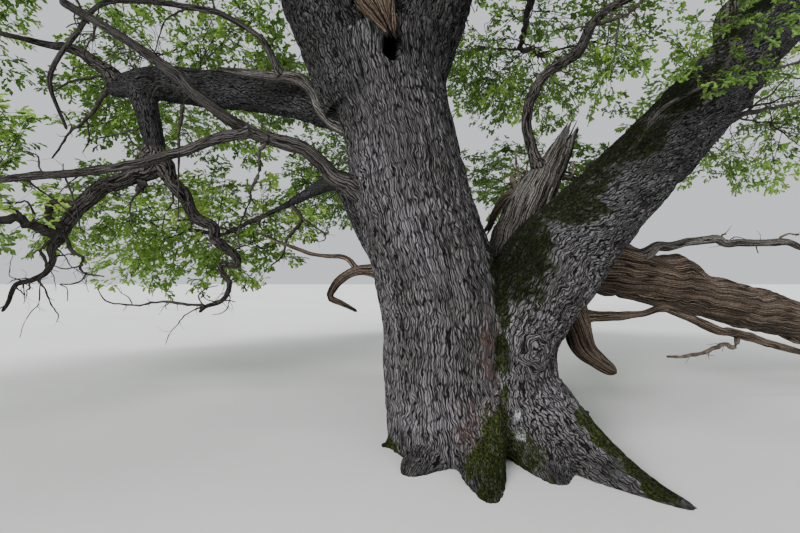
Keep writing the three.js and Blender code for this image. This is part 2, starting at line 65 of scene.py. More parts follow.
LEFT_COLUMN = [
    [-330, 0, -40, 640], [-430, 0, 600, 560], [-470, 0, 1300, 585], [-690, 0, 2150, 555],
    [-850, 0, 2850, 530], [-960, 0, 3300, 560], [-1030, 0, 3700, 620],
]
RIGHT_COLUMN = [
    [300, 0, -40, 480], [200, 0, 560, 420], [220, 0, 1030, 425], [530, 0, 1580, 480], [860, 50, 1950, 420],
    [1270, 100, 2360, 372], [2240, 300, 3300, 352], [3230, 550, 4300, 315], [4300, 700, 5100, 230],
    [5350, 760, 5500, 150],
]

# Roots: the column's foot, heading in degrees, reach, height where they leave it, thickness
LEFT_FOOT = [-330, 0]
RIGHT_FOOT = [300, 0]
MIDDLE_FOOT = [-170, 0]
ROOTS = [
    (RIGHT_FOOT, -58, 1480, 620, 300),
    (RIGHT_FOOT, -88, 900, 500, 330),
    (MIDDLE_FOOT, -93, 1180, 900, 270),
    (LEFT_FOOT, -122, 880, 450, 330),
    (LEFT_FOOT, -170, 700, 380, 270),
    (LEFT_FOOT, 114, 1350, 650, 300),
    (MIDDLE_FOOT, 86, 1250, 700, 320),
    (RIGHT_FOOT, 44, 1400, 600, 280),
    (RIGHT_FOOT, -8, 700, 380, 260),
]
ROOT_SHARES = [0.12, 0.4, 0.7, 1]
ROOT_HOLLOW = 2.4
ROOT_DIP = 0.45
ROOT_TAPER = 0.55

LIMBS = {
    "leader_left": [
        [-1150, 0, 3150, 440], [-1500, 0, 4150, 480], [-1900, 60, 5200, 400], [-2450, 250, 6500, 300],
        [-3000, 450, 7500, 220]],
    "leader_right": [
        [-880, 0, 3150, 400], [-570, 20, 4150, 380], [-150, 200, 5400, 330], [250, 380, 7000, 260],
        [450, 460, 7900, 200], [500, 430, 8700, 150]],
    "left_bough": [
        [-900, 150, 2700, 180], [-1360, 300, 3120, 172], [-2150, 750, 3550, 200], [-3270, 1100, 3820, 215],
        [-4000, 1280, 3960, 195], [-4530, 1400, 3950, 126]],
    "hanging_arm": [
        [-4110, 1300, 3900, 170], [-4020, 1300, 3630, 136], [-3920, 1300, 3200, 124],
        [-3890, 1300, 2880, 118]],
    "hanging_arm_left": [
        [-3890, 1300, 2960, 118], [-4440, 1200, 2670, 97], [-4780, 1100, 2220, 72], [-5020, 1000, 1620, 41],
        [-5280, 900, 1420, 30], [-5330, 800, 1140, 22]],
    "hanging_arm_right": [
        [-3870, 1300, 2960, 95], [-3550, 1400, 2450, 76], [-3240, 1500, 2000, 72], [-2980, 1550, 1740, 52],
        [-3100, 1550, 1500, 42], [-3390, 1550, 1100, 26]],
    "grey_branch": [
        [-950, -50, 2150, 95], [-1390, -200, 2410, 72], [-1700, -300, 2670, 61], [-2140, -400, 2790, 56],
        [-2580, -500, 3070, 43], [-2820, -500, 3300, 42], [-3660, -600, 3810, 32]],
    "grey_branch_low": [
        [-2140, -400, 2790, 47], [-2670, -400, 2640, 45], [-3420, -400, 2450, 38], [-4600, -250, 2390, 30]],
    "back_bough_left": [
        [-750, 300, 1500, 175], [-1090, 550, 1870, 160], [-1270, 700, 2220, 154], [-1480, 920, 2600, 145],
        [-1730, 1200, 2680, 105], [-2360, 1800, 2530, 50], [-2840, 2200, 2420, 36]],
    "dead_spur": [
        [-1250, 60, 2900, 74], [-1530, 100, 3110, 63], [-1840, 200, 3490, 54], [-2390, 300, 3620, 46],
        [-2690, 350, 3680, 31]],
    "whip": [
        [-2050, 250, 3560, 40], [-2330, 250, 4010, 30], [-2900, 250, 4270, 30], [-3840, 300, 4370, 25],
        [-4250, 400, 4100, 26], [-4600, 500, 3670, 24], [-4560, 700, 3170, 17]],
    "dead_crook": [
        [-800, 200, 1590, 78], [-1260, 300, 1610, 56], [-1460, 300, 1510, 46], [-1560, 300, 1340, 34],
        [-1440, 300, 1270, 26], [-1280, 300, 1180, 15]],
    "dead_crook_twig": [
        [-1290, 300, 1610, 30], [-1430, 350, 1740, 26], [-1820, 500, 1790, 21], [-2500, 800, 2050, 11]],
    "broken_stump": [
        [200, 560, 1400, 250], [335, 650, 1830, 215], [695, 750, 2510, 185], [885, 800, 2860, 148],
        [1080, 850, 3200, 90]],
    "stump_branch": [
        [770, 700, 2630, 77], [650, 650, 2820, 65], [530, 560, 3250, 54], [660, 480, 3640, 48],
        [1000, 400, 3870, 52], [1210, 300, 4220, 46], [1670, 200, 4450, 30]],
    "stump_spur": [
        [560, 790, 2440, 68], [380, 850, 2440, 62], [270, 900, 2320, 50], [120, 900, 2020, 30]],
    "torn_tongue": [
        [-1180, -330, 4350, 150], [-1020, -530, 3830, 95], [-925, -670, 3480, 28]],
    "fallen_limb": [
        [500, 450, 1500, 300], [920, 700, 1690, 331], [1560, 900, 1620, 321], [2890, 1350, 1340, 268],
        [4710, 2000, 870, 265], [6300, 2450, 430, 220], [7700, 2850, 200, 160]],
    "fallen_limb_branch": [
        [1500, 850, 1750, 85], [2170, 780, 1880, 52], [2850, 900, 1940, 52], [3930, 1100, 1890, 45],
        [5400, 1350, 1950, 24]],
    "torn_hook": [
        [960, 640, 1620, 190], [960, 550, 1290, 165], [1060, 540, 850, 135], [1210, 500, 660, 92],
        [1400, 450, 530, 58]],
    "torn_hook_branch": [
        [1060, 560, 1110, 68], [1760, 640, 1140, 40], [2130, 740, 1180, 45], [2950, 1080, 910, 54],
        [4340, 1500, 560, 45]],
}

# A mass of foliage: name, centre, half its size, the limb it grows on, and where and how its bough leaves
# that limb: the share of the limb's length, the thickness and the rise. Without these it grows at the tip.
MASSES = [
    ("left_low_front", [-6700, 500, 2650], [2100, 1700, 1350], "grey_branch_low", None),
    ("left_low_back", [-4700, 3500, 2400], [2700, 1900, 1250], "back_bough_left", None),
    ("left_mid", [-4700, 3800, 5100], [2900, 2300, 1700], "left_bough", (0.5, 120, 0.1)),
    ("left_far", [-7300, 1100, 5300], [2300, 2500, 1900], "left_bough", (0.93, 85, 0.12)),
    ("left_front_high", [-5500, -2800, 6700], [2700, 2500, 1800], "leader_left", (0.42, 210, 0.1)),
    ("left_top", [-4100, 900, 9000], [2900, 2900, 2100], "leader_left", None),
    ("back_left_low", [-1600, 5700, 3900], [2400, 2100, 1700], "left_stem", (0.25, 200, 0.06)),
    ("back_mid", [2100, 4700, 6050], [2600, 2300, 1900], "leader_right", (0.4, 125, 0.05)),
    ("back_high", [-900, 4500, 8500], [3000, 2700, 2200], "leader_right", (0.54, 180, 0.06)),
    ("back_right", [5700, 4000, 4800], [2500, 2200, 1800], "right_bough", (0.5, 170, 0.08)),
    ("back_low_right", [2600, 6150, 3800], [2400, 1700, 1400], "right_bough", (0.43, 120, -0.05)),
    ("right_far", [7500, 800, 5800], [2400, 2500, 1900], "right_bough", None),
    ("right_front", [5100, -3000, 6300], [2600, 2400, 1800], "right_bough", (0.66, 150, 0.1)),
    ("right_top", [4700, 1000, 8700], [3000, 2900, 2000], "right_bough", (0.6, 190, -0.05)),
    ("front_right_high", [2000, -4100, 8300], [2700, 2500, 1900], "leader_right", (0.45, 170, 0.06)),
    ("front_left_high", [-2000, -4200, 8500], [2700, 2500, 1900], "leader_left", (0.55, 180, 0.08)),
    ("top_mid", [400, 300, 10600], [3600, 3300, 2200], "leader_right", None),
    ("near_sprig", [1800, -750, 3400], [620, 520, 470], "right_bough", (0.235, 34, 0.15)),
]

# The same lines with the kinks that the solid model leaves out
KINKS = {
    "hanging_arm_left": [
        [-3930, 1300, 3150, 90], [-3971, 1300, 2909, 118], [-4128, 1250, 2788, 104],
        [-4269, 1220, 2741, 97], [-4441, 1200, 2669, 92],
        [-4595, 1160, 2489, 86], [-4746, 1120, 2324, 80], [-4856, 1100, 2100, 72], [-4892, 1050, 1965, 60],
        [-4941, 1000, 1859, 46], [-4909, 980, 1731, 38], [-4970, 950, 1579, 34], [-5106, 920, 1503, 30],
        [-5250, 900, 1454, 28], [-5270, 860, 1356, 26], [-5273, 820, 1235, 22], [-5319, 800, 1139, 16]],
    "hanging_arm_right": [
        [-3900, 1300, 3120, 80], [-3790, 1300, 2909, 95], [-3686, 1330, 2697, 84],
        [-3571, 1380, 2488, 80], [-3451, 1420, 2329, 76],
        [-3254, 1480, 2198, 74], [-3232, 1500, 2005, 70], [-3044, 1520, 1895, 62], [-2938, 1540, 1756, 52],
        [-2982, 1550, 1683, 44], [-3151, 1550, 1700, 38], [-3170, 1550, 1630, 36], [-3064, 1550, 1476, 34],
        [-3090, 1550, 1322, 32], [-3187, 1550, 1210, 30], [-3354, 1550, 1162, 26], [-3443, 1550, 1079, 20]],
    "fallen_limb_branch": [
        [1543, 850, 1644, 85], [1765, 840, 1696, 74], [1929, 820, 1773, 64], [2058, 800, 1884, 62],
        [2226, 850, 1888, 54], [2486, 900, 1936, 50], [2694, 920, 1973, 52], [2822, 950, 1993, 58],
        [2907, 970, 1942, 46], [3144, 1000, 1944, 50], [3399, 1050, 1939, 46], [3660, 1100, 1962, 46],
        [3824, 1120, 1964, 40], [4033, 1150, 1892, 36], [4700, 1250, 1930, 30], [5400, 1350, 1950, 24]],
}

# Twigs without leaves: the limb, the thickness at either end, and the line, in metres
BARE_TWIGS = [
    ("grey_branch", 0.02, 0.006, [(-1.99, -0.42, 2.73), (-2.01, -0.4, 2.67), (-2.07, -0.39, 2.61),
        (-2.06, -0.38, 2.46), (-2.14, -0.36, 2.29), (-2.16, -0.34, 2.2), (-2.22, -0.33, 2.05),
        (-2.27, -0.31, 1.9), (-2.26, -0.3, 1.77)]),
    ("grey_branch", 0.009, 0.004, [(-2.15, -0.38, 2.22), (-2.13, -0.34, 2.19), (-2.13, -0.3, 2.17)]),
    ("left_bough", 0.024, 0.014, [(-3.38, 0.95, 3.56), (-3.41, 0.95, 3.41), (-3.44, 0.95, 3.2),
        (-3.43, 0.95, 3)]),
    ("left_bough", 0.016, 0.005, [(-3.56, 1.2, 2.86), (-3.58, 1.25, 2.68), (-3.6, 1.3, 2.47),
        (-3.63, 1.35, 2.26)]),
    ("hanging_arm", 0.075, 0.034, [(-3.94, 1.3, 2.91), (-4.03, 1.26, 2.68), (-4.06, 1.22, 2.58)]),
    ("hanging_arm", 0.016, 0.006, [(-4.05, 1.22, 2.59), (-4.14, 1.21, 2.46), (-4.15, 1.21, 2.34),
        (-4.12, 1.2, 2.19)]),
    ("hanging_arm_right", 0.018, 0.006, [(-3.72, 1.35, 2.7), (-3.69, 1.34, 2.59), (-3.7, 1.33, 2.45),
        (-3.77, 1.31, 2.34), (-3.81, 1.3, 2.1)]),
    ("hanging_arm_right", 0.008, 0.004, [(-3.68, 1.3, 2.46), (-3.62, 1.28, 2.42), (-3.57, 1.27, 2.37),
        (-3.55, 1.25, 2.44)]),
    ("hanging_arm_left", 0.048, 0.03, [(-4.57, 1.12, 2.46), (-4.76, 1.1, 2.4), (-4.95, 1.08, 2.42),
        (-5.01, 1.06, 2.38), (-5, 1.04, 2.27), (-4.94, 1.02, 2.17), (-4.81, 1, 2.13)]),
    ("hanging_arm_left", 0.06, 0.042, [(-4.87, 1.08, 2.02), (-4.97, 1, 2.06), (-5.1, 0.93, 2.13),
        (-5.2, 0.85, 2.19), (-5.34, 0.78, 2.17), (-5.49, 0.7, 2.2)]),
    ("hanging_arm_left", 0.022, 0.012, [(-5.16, 0.85, 2.18), (-5.16, 0.82, 2.25), (-5.21, 0.78, 2.3),
        (-5.33, 0.75, 2.32)]),
    ("hanging_arm_left", 0.016, 0.008, [(-5.11, 0.9, 2.14), (-5.04, 0.88, 2.22), (-5.1, 0.85, 2.39),
        (-5.25, 0.83, 2.38), (-5.37, 0.8, 2.37)]),
    ("hanging_arm_left", 0.024, 0.014, [(-4.93, 1, 1.96), (-5.06, 0.99, 1.85), (-4.99, 0.97, 1.76),
        (-4.96, 0.96, 1.65), (-4.99, 0.95, 1.55)]),
    ("hanging_arm_left", 0.012, 0.005, [(-5.04, 0.98, 1.85), (-5.09, 0.96, 1.83), (-5.11, 0.95, 1.79)]),
    ("hanging_arm_left", 0.026, 0.008, [(-4.82, 1.05, 2.03), (-4.73, 1.04, 1.86), (-4.59, 1.03, 1.76),
        (-4.61, 1.02, 1.66), (-4.54, 1.02, 1.57), (-4.42, 1.01, 1.56), (-4.31, 1, 1.54)]),
    ("hanging_arm_left", 0.012, 0.005, [(-4.57, 1, 1.67), (-4.73, 0.98, 1.63), (-4.84, 0.97, 1.65),
        (-4.88, 0.95, 1.68)]),
    ("hanging_arm_left", 0.012, 0.005, [(-4.53, 1, 1.57), (-4.57, 0.98, 1.48), (-4.69, 0.96, 1.45),
        (-4.78, 0.94, 1.45), (-4.68, 0.92, 1.4), (-4.66, 0.9, 1.26)]),
    ("hanging_arm_left", 0.014, 0.006, [(-5.18, 0.92, 1.48), (-5.25, 0.9, 1.43), (-5.16, 0.87, 1.36),
        (-5.11, 0.85, 1.33)]),
    ("hanging_arm_left", 0.011, 0.005, [(-5.03, 0.9, 1.5), (-5.13, 0.88, 1.52), (-5.26, 0.87, 1.5),
        (-5.27, 0.85, 1.48)]),
    ("hanging_arm_right", 0.022, 0.007, [(-3.4, 1.5, 1.18), (-3.62, 1.51, 1.19), (-3.82, 1.53, 1.22),
        (-4.05, 1.54, 1.21), (-4.23, 1.56, 1.18), (-4.52, 1.57, 1.19), (-4.7, 1.59, 1.25),
        (-4.79, 1.6, 1.39)]),
    ("hanging_arm_right", 0.009, 0.004, [(-3.82, 1.55, 1.22), (-3.89, 1.58, 1.16), (-3.89, 1.6, 1.12)]),
    ("hanging_arm_right", 0.009, 0.004, [(-4.34, 1.6, 1.19), (-4.39, 1.6, 1.28), (-4.48, 1.6, 1.33),
        (-4.52, 1.6, 1.39)]),
    ("hanging_arm_right", 0.014, 0.006, [(-3.17, 1.5, 1.22), (-3.05, 1.48, 1.24), (-2.94, 1.45, 1.22)]),
    ("hanging_arm_right", 0.013, 0.006, [(-3.37, 1.5, 1.17), (-3.43, 1.5, 1.3), (-3.34, 1.5, 1.39),
        (-3.18, 1.5, 1.43)]),
    ("hanging_arm_right", 0.012, 0.005, [(-3.25, 1.5, 2.14), (-3.14, 1.47, 2.18), (-3.04, 1.43, 2.25),
        (-3, 1.4, 2.13)]),
    ("back_bough_left", 0.03, 0.009, [(-2.41, 2, 2.54), (-2.63, 2.08, 2.47), (-2.85, 2.15, 2.37),
        (-2.9, 2.22, 2.32), (-2.86, 2.3, 2.23)]),
    ("back_bough_left", 0.036, 0.01, [(-2.29, 1.75, 2.49), (-2.17, 1.76, 2.34), (-2.23, 1.77, 2.23),
        (-2.35, 1.77, 2.08), (-2.39, 1.78, 2), (-2.44, 1.79, 1.82), (-2.59, 1.8, 1.7)]),
    ("back_bough_left", 0.016, 0.006, [(-2.16, 1.75, 2.33), (-2.03, 1.74, 2.24), (-1.88, 1.73, 2.13),
        (-1.85, 1.71, 2.04), (-1.93, 1.7, 2.01)]),
    ("left_bough", 0.034, 0.009, [(-4.58, 1.4, 3.9), (-4.67, 1.39, 3.79), (-4.81, 1.38, 3.54),
        (-5.01, 1.37, 3.4), (-5.11, 1.36, 3.22), (-5.23, 1.35, 3.03)]),
    ("left_bough", 0.012, 0.005, [(-4.82, 1.38, 3.52), (-4.77, 1.35, 3.28), (-4.79, 1.33, 3.18),
        (-4.81, 1.3, 3.09)]),
    ("hanging_arm", 0.02, 0.007, [(-4, 1.28, 3.39), (-4.14, 1.25, 3.36), (-4.36, 1.23, 3.29),
        (-4.59, 1.2, 3.23)]),
    ("left_bough", 0.026, 0.009, [(-4.41, 1.4, 4.06), (-4.61, 1.38, 4.09), (-4.84, 1.35, 4.05),
        (-5.01, 1.33, 4), (-5.21, 1.3, 3.85)]),
    ("broken_stump", 0.018, 0.008, [(0.47, 0.72, 2.48), (0.47, 0.71, 2.62), (0.46, 0.71, 2.72),
        (0.44, 0.71, 2.82), (0.44, 0.7, 2.96)]),
    ("broken_stump", 0.01, 0.005, [(0.46, 0.7, 2.72), (0.53, 0.69, 2.78), (0.58, 0.68, 2.83)]),
    ("broken_stump", 0.012, 0.005, [(0.55, 0.7, 2.66), (0.56, 0.7, 2.77), (0.59, 0.7, 2.85)]),
    ("broken_stump", 0.038, 0.026, [(0.48, 0.75, 2.49), (0.42, 0.75, 2.59), (0.4, 0.75, 2.68)]),
    ("broken_stump", 0.02, 0.011, [(1.04, 0.72, 2.64), (1.07, 0.71, 2.69), (1.08, 0.71, 2.75),
        (1.08, 0.7, 2.81)]),
    ("right_bough", 0.022, 0.012, [(2.07, 0.12, 3.21), (2.11, 0.09, 3.29), (2.13, 0.07, 3.37),
        (2.18, 0.04, 3.44), (2.3, 0.01, 3.43), (2.43, -0.02, 3.44), (2.63, -0.04, 3.47),
        (2.79, -0.07, 3.52), (2.94, -0.1, 3.55)]),
    ("right_bough", 0.01, 0.005, [(2.04, 0, 3.23), (2.11, 0, 3.23), (2.17, 0, 3.26)]),
    ("right_bough", 0.03, 0.014, [(2.69, 0.5, 3.22), (2.82, 0.5, 3.28), (2.99, 0.5, 3.31),
        (3.15, 0.5, 3.34), (3.32, 0.5, 3.38), (3.55, 0.5, 3.43)]),
    ("right_bough", 0.014, 0.007, [(2.85, 0.5, 3.29), (2.97, 0.47, 3.4), (3.07, 0.45, 3.46),
        (3.14, 0.42, 3.55), (3.29, 0.4, 3.71)]),
    ("stump_branch", 0.024, 0.012, [(1.22, 0.3, 4.14), (1.32, 0.28, 4.17), (1.44, 0.25, 4.2),
        (1.53, 0.22, 4.25), (1.6, 0.2, 4.34)]),
    ("stump_branch", 0.014, 0.006, [(1.18, 0.3, 4.15), (1.14, 0.3, 4.13), (1, 0.3, 4.1),
        (0.88, 0.3, 4.08), (0.8, 0.3, 4.16)]),
    ("stump_branch", 0.011, 0.005, [(1.39, 0.25, 4.18), (1.35, 0.24, 3.98), (1.33, 0.22, 3.8),
        (1.29, 0.21, 3.67), (1.26, 0.2, 3.53)]),
    ("torn_hook_branch", 0.032, 0.016, [(3.19, 1.2, 0.69), (3.05, 1.16, 0.73), (2.88, 1.12, 0.68),
        (2.67, 1.08, 0.62), (2.46, 1.04, 0.6), (2.26, 1, 0.61)]),
    ("fallen_limb_branch", 0.014, 0.008, [(3.02, 1.1, 1.99), (3, 1.1, 2.04), (3.05, 1.1, 2.05)]),
    ("fallen_limb_branch", 0.016, 0.008, [(3.78, 1.2, 2.02), (3.9, 1.2, 2.06), (4.01, 1.2, 2.05)]),
]
BOUGH_SHARES = [0, 0.22, 0.48, 0.75, 1]
BOUGH_TAPER = 0.6
BOUGH_SWAY = 0.07
BOUGH_ENTRY = 0.86

# The rule of growth, as in the solid model, in metres
SEED_STEP = 1000
CANDIDATES = 8
TIP_DEPTH = [0.66, 0.98]
PATH_WEIGHT = 0.35
TWIG_LIFT = 0.1
TWIG_WANDER = 0.3
TWIG_LEAST = 0.5
TWIG_MOST = 0.9
TWIG_JOINTS = [0.3, 0.65]
STEM_JOINTS = [0.4, 0.62, 0.85]
SPRAY_LENGTH = 1.3
SPRAY_IN_MASS = 0.72
SPRAY_WIDTH = 0.38
SPRAY_WIDEST = 0.45
SIDE_SPRAYS = [(0.45, 52), (0.75, -58)]  # where on the twig, and the angle in degrees
SIDE_SPRAY_SWING = 30
SIDE_SPRAY_SHARE = 0.9
SPRAY_ROLL = 1.8
HEADING_STEP = 0.0001
TWIG_TESTS = [0.35, 0.5, 0.65, 0.8, 0.95]
SPRAY_TESTS = [  # places on a spray that must be free: along it, and out to its edge
    (0.3, 0), (0.6, 0), (1, 0), (SPRAY_WIDEST, 1), (SPRAY_WIDEST, -1), (0.75, 0.5), (0.75, -0.5),
]
SPACE_MARGIN = 0.03
LIMB_MARGIN = 0.06
BALLS_PER_STATION = 6
STEM_SUNK = 0.025

# How far the same rule is carried here
TIPS = 39
TIPS_IN_VIEW = {
    "left_low_front": 46, "left_low_back": 66, "left_mid": 62, "left_far": 50, "back_left_low": 56,
    "back_mid": 50, "back_right": 46, "back_low_right": 62, "right_far": 42, "near_sprig": 11}
ATTEMPTS = 600
TWIG_RADIUS = 0.008
TWIG_THICKENING = 0.46

# Bark, in metres
RIDGE_WIDTH = 0.06
THIN_RIDGE = 0.022
RIDGE_LENGTHS = {"left_column": 0.5, "right_column": 0.4}
STOUT_RIDGE_LENGTH = 0.35  # on the roots and the other stout limbs
SLIM_RIDGE_LENGTH = 0.25  # on limbs that are pieces of their own
FURROW_DEPTH = 0.024
SPLIT_DEPTH = 0.016
# How the ridges sway: how far, counted in ridges, over how many ridges, over what length, and the seed
RIDGE_WAVES = [(0.45, 4, 0.07, 11), (1.5, 8, 0.33, 12)]
LEVEL_HEIGHT = 0.62  # the mean height of the bark, from 0 in a furrow to 1 on a ridge
JOIN = 0.09  # over this distance the bark of one limb passes into that of another
PLATE_LENGTHS = {"left_column": 0.6}  # below 1, the plates of that limb's bark are drawn longer
BOUGH_TWIST = 0.8  # how far the bark winds round the right bough, in radians for each metre
BOUGH_TWIST_START = 1.9  # where along the right column it begins

# The skin of the stout wood, in metres
VOXEL = 0.024
STOUT_STEP = 0.04  # between the sides of the tubes that the skin is drawn over
STOUT_RING = 0.06
SKIN_ROUNDS = 7
EASE_ROUNDS = 3
NEAR = 5.4  # distance from the eye within which the bark is made twice as fine
VIEW_RISE = 0.72  # how steeply the upper edge of the view rises from the eye
TURNED_AWAY = -0.2  # faces that look further away from the eye than this are left as they are
LIMB_REACH = 0.4  # bark further than this from a limb doesn't belong to it
BLOCK_SIZE = 6000000  # distances that are worked out at once

# Heights just above the ground, in metres
ON_GROUND = 0.001  # what is lower lies on it
FOOT_HEIGHT = 0.002  # what is lower belongs to the cut foot, and all other bark stays above
SINGLE_HEIGHT = 0.003  # single limbs stay above this

# Limbs that are pieces of their own
LIMB_STEP = 0.05  # between the places of a limb's line, in metres
LONG_KINK = 0.33
SHORT_KINK = 0.12
SLIM = 0.12  # a limb of a smaller mean radius is more crooked
SLIM_KINKS = 0.3
STOUT_KINKS = 0.1
COLLAR_REACH = 1.1  # how far a collar reaches along the limb, in radii at its root
KNOT_SPACING = 5  # in mean radii
KNOT_HEIGHT = 0.16  # as a share of the radius
ROUND_TIP = 1.6  # the length of a rounded tip in radii
SPLINTER_ROOT = 2.2  # where splinters begin before a broken tip, in lengths of a splinter
RIM = 0.16  # thickness of the rim of splinters, in radii
HOLLOW = 1.3  # depth of the hollow in it, in lengths of a splinter
DEAD_TWIST = 0.4  # how far the grain of dead wood winds, in radians for each metre
TORN_RELIEF = 0.3  # height of the grain inside a hollow
MOSS_ON_BARK = 0.85
MOSS_ON_WOOD = 0.2


# Lines and frames

def spine_point(stations, t):
    """Places on the smooth line through the stations, t being 0 at the root and 1 at the tip."""
    points = stations[:, :3]
    last = len(points) - 1
    along = np.clip(t, 0, 1) * last
    before = np.minimum(np.floor(along).astype(int), last - 1)
    share = np.asarray(along - before)[..., None]
    padded = np.vstack([2 * points[0] - points[1], points, 2 * points[-1] - points[-2]])
    p0, p1, p2, p3 = (padded[before + k] for k in range(4))
    leave = (p2 - p0) / 2
    arrive = (p3 - p1) / 2
    bend = -3 * p1 + 3 * p2 - 2 * leave - arrive
    twist = 2 * p1 - 2 * p2 + leave + arrive
    return ((twist * share + bend) * share + leave) * share + p1


def end_heading(stations):
    return unit(spine_point(stations, 1) - spine_point(stations, 1 - HEADING_STEP))


def unit(v):
    return v / np.linalg.norm(v, axis=-1, keepdims=True)


def turned(v, axis, angle):
    """v turned about a unit axis."""
    return (v * math.cos(angle) + np.cross(axis, v) * math.sin(angle)
            + axis * np.dot(axis, v) * (1 - math.cos(angle)))


def limb_of(name, stations, seed=0):
    """A limb with its line at even steps: places, radii, headings and two axes across."""
    t = np.linspace(0, 1, 300)
    points = spine_point(stations, t)
    run = np.concatenate([[0], np.cumsum(np.linalg.norm(np.diff(points, axis=0), axis=1))])
    count = max(3, int(round(run[-1] / LIMB_STEP)))
    at = np.interp(np.linspace(0, run[-1], count + 1), run, t)
    centre = spine_point(stations, at)
    radius = np.interp(at * (len(stations) - 1), np.arange(len(stations)), stations[:, 3])
    along = unit(np.gradient(centre, axis=0))
    side = np.zeros_like(centre)
    start = np.array([0.0, -1.0, 0.0]) - along[0] * -along[0][1]
    side[0] = unit(start)
    for i in range(1, len(centre)):
        side[i] = unit(side[i - 1] - along[i] * np.dot(side[i - 1], along[i]))
    return SimpleNamespace(
        name=name, centre=centre, radius=radius, along=along, side=side, face=np.cross(along, side),
        run=np.linspace(0, run[-1], count + 1), length=run[-1], seed=seed)


def between(limb, run):
    """Centre, radius and the two axes across at distances from the root."""
    def pick(rows):
        return np.stack([np.interp(run, limb.run, rows[:, k]) for k in range(3)], axis=-1)
    return pick(limb.centre), np.interp(run, limb.run, limb.radius), pick(limb.side), pick(limb.face)


# Patterns

def scatter(column, row, seed):
    """A number from 0 to 1 for each whole place, always the same for the same place."""
    h = column.astype(np.int64) * 374761393 + row.astype(np.int64) * 668265263 + seed * 362437
    h &= 0x7FFFFFFF
    h = (h ^ (h >> 13)) * 1274126177 & 0x7FFFFFFF
    h = (h ^ (h >> 16)) * 2246822519 & 0x7FFFFFFF
    return ((h ^ (h >> 15)) & 0xFFFFFF) / 16777216.0


def rolling(across, along, around, seed):
    """Smooth noise from -1 to 1 that closes on itself after `around` steps across."""
    column, row = np.floor(across), np.floor(along)
    u, v = across - column, along - row
    u, v = u * u * (3 - 2 * u), v * v * (3 - 2 * v)
    first, second = np.mod(column, around), np.mod(column + 1, around)
    low = scatter(first, row, seed) * (1 - u) + scatter(second, row, seed) * u
    high = scatter(first, row + 1, seed) * (1 - u) + scatter(second, row + 1, seed) * u
    return 2 * (low * (1 - v) + high * v) - 1


def ripple(along, seed):
    """Smooth noise from -1 to 1 along a line."""
    return rolling(np.zeros_like(along), along, 4, seed)


def teeth(angle, half, seed):
    """Smooth noise from -1 to 1 round a limb, in twice as many steps as `half`."""
    return rolling(angle * half / math.pi + half, np.zeros_like(angle), 2 * half, seed)


def lumps(places, size, seed):
    """Smooth noise in space from -1 to 1, with lumps of the given size."""
    p = places / size
    low = np.floor(p)
    share = p - low
    share = share * share * (3 - 2 * share)
    total = np.zeros(len(p))
    for corner in range(8):
        step = np.array([corner & 1, corner >> 1 & 1, corner >> 2 & 1])
        weight = np.prod(np.where(step, share, 1 - share), axis=1)
        at = low + step
        total += weight * scatter(at[:, 0] + 57 * at[:, 2], at[:, 1], seed)
    return 2 * total - 1


def plates(across, along, around, seed):
    """How far each place is from the furrows between staggered plates, with a number for each plate."""
    column = np.floor(across)
    first = np.full(across.shape, 9.0)
    second = first.copy()
    label = np.zeros(across.shape)
    for beside in (-1, 0, 1):
        home = np.mod(column + beside, around)
        shift = 0.5 * np.mod(home, 2) + 0.35 * scatter(home, home * 0, seed + 3)
        row = np.floor(along - shift)
        for r in (row - 1, row, row + 1):
            x = column + beside + 0.5 + 0.55 * (scatter(home, r, seed) - 0.5)
            y = r + 0.5 + shift + 0.5 * (scatter(home, r, seed + 1) - 0.5)
            distance = np.hypot(across - x, along - y)
            nearer = distance < first
            second = np.where(nearer, first, np.minimum(second, distance))
            label = np.where(nearer, scatter(home, r, seed + 2), label)
            first = np.minimum(first, distance)
    return second - first, label


def rise(value, low, high):
    share = np.clip((value - low) / (high - low), 0, 1)
    return share * share * (3 - 2 * share)


def furrows(limb, run, angle):
    """Height of the bark from 0 deep in a furrow to 1 on a ridge: long wavy ridges that part and meet."""
    width = ridge_width(limb)
    around = max(8, 8 * int(round(2 * math.pi * limb.bark_radius / width / 8)))
    scale = width / RIDGE_WIDTH
    across = (angle / (2 * math.pi) + 0.5) * around
    for sway, ridges, length, seed in RIDGE_WAVES:
        wave = rolling(across / ridges, run / (length * scale), around / ridges, limb.seed + seed)
        across = across + sway * wave
    along = run / limb.ridge_length
    along = along + 0.25 * rolling(across / 2, run / (0.3 * scale), around / 2, limb.seed + 13)
    gap, label = plates(across, along, around, limb.seed)
    split, _ = plates(across * 2, along * 2.4, around * 2, limb.seed + 5)
    return rise(gap, 0.0, 0.6) * (0.7 + 0.3 * label) * (0.8 + 0.2 * rise(split, 0.0, 0.4))


def ridge_width(limb):
    return min(RIDGE_WIDTH, max(THIN_RIDGE, RIDGE_WIDTH * (limb.bark_radius / 0.4) ** 0.4))


def as_carved(height, width, fineness):
    """The height with ridges too narrow for the mesh faded out; the material draws those."""
    return LEVEL_HEIGHT + (height - LEVEL_HEIGHT) * rise(width / fineness, 1.3, 2.6)


# Meshes

def new_object(name, data):
    made = bpy.data.objects.new(name, data)
    bpy.context.scene.collection.objects.link(made)
    return made


def mesh_from(bm, name):
    mesh = bpy.data.meshes.new(name)
    bm.to_mesh(mesh)
    bm.free()
    return mesh


def read(items, field, width=1, kind=np.float32):
    """One value or more from each vertex, edge, face or corner of a mesh, as an array."""
    values = np.zeros(len(items) * width, kind)
    items.foreach_get(field, values)
    return values.reshape(-1, width) if width > 1 else values


def places_of(mesh):
    return read(mesh.vertices, "co", 3).astype(float)


def normals_of(mesh):
    return read(mesh.vertex_normals, "vector", 3).astype(float)


def edge_ends(mesh):
    """The first and the second vertex of each edge."""
    return read(mesh.edges, "vertices", 2, np.int32).T


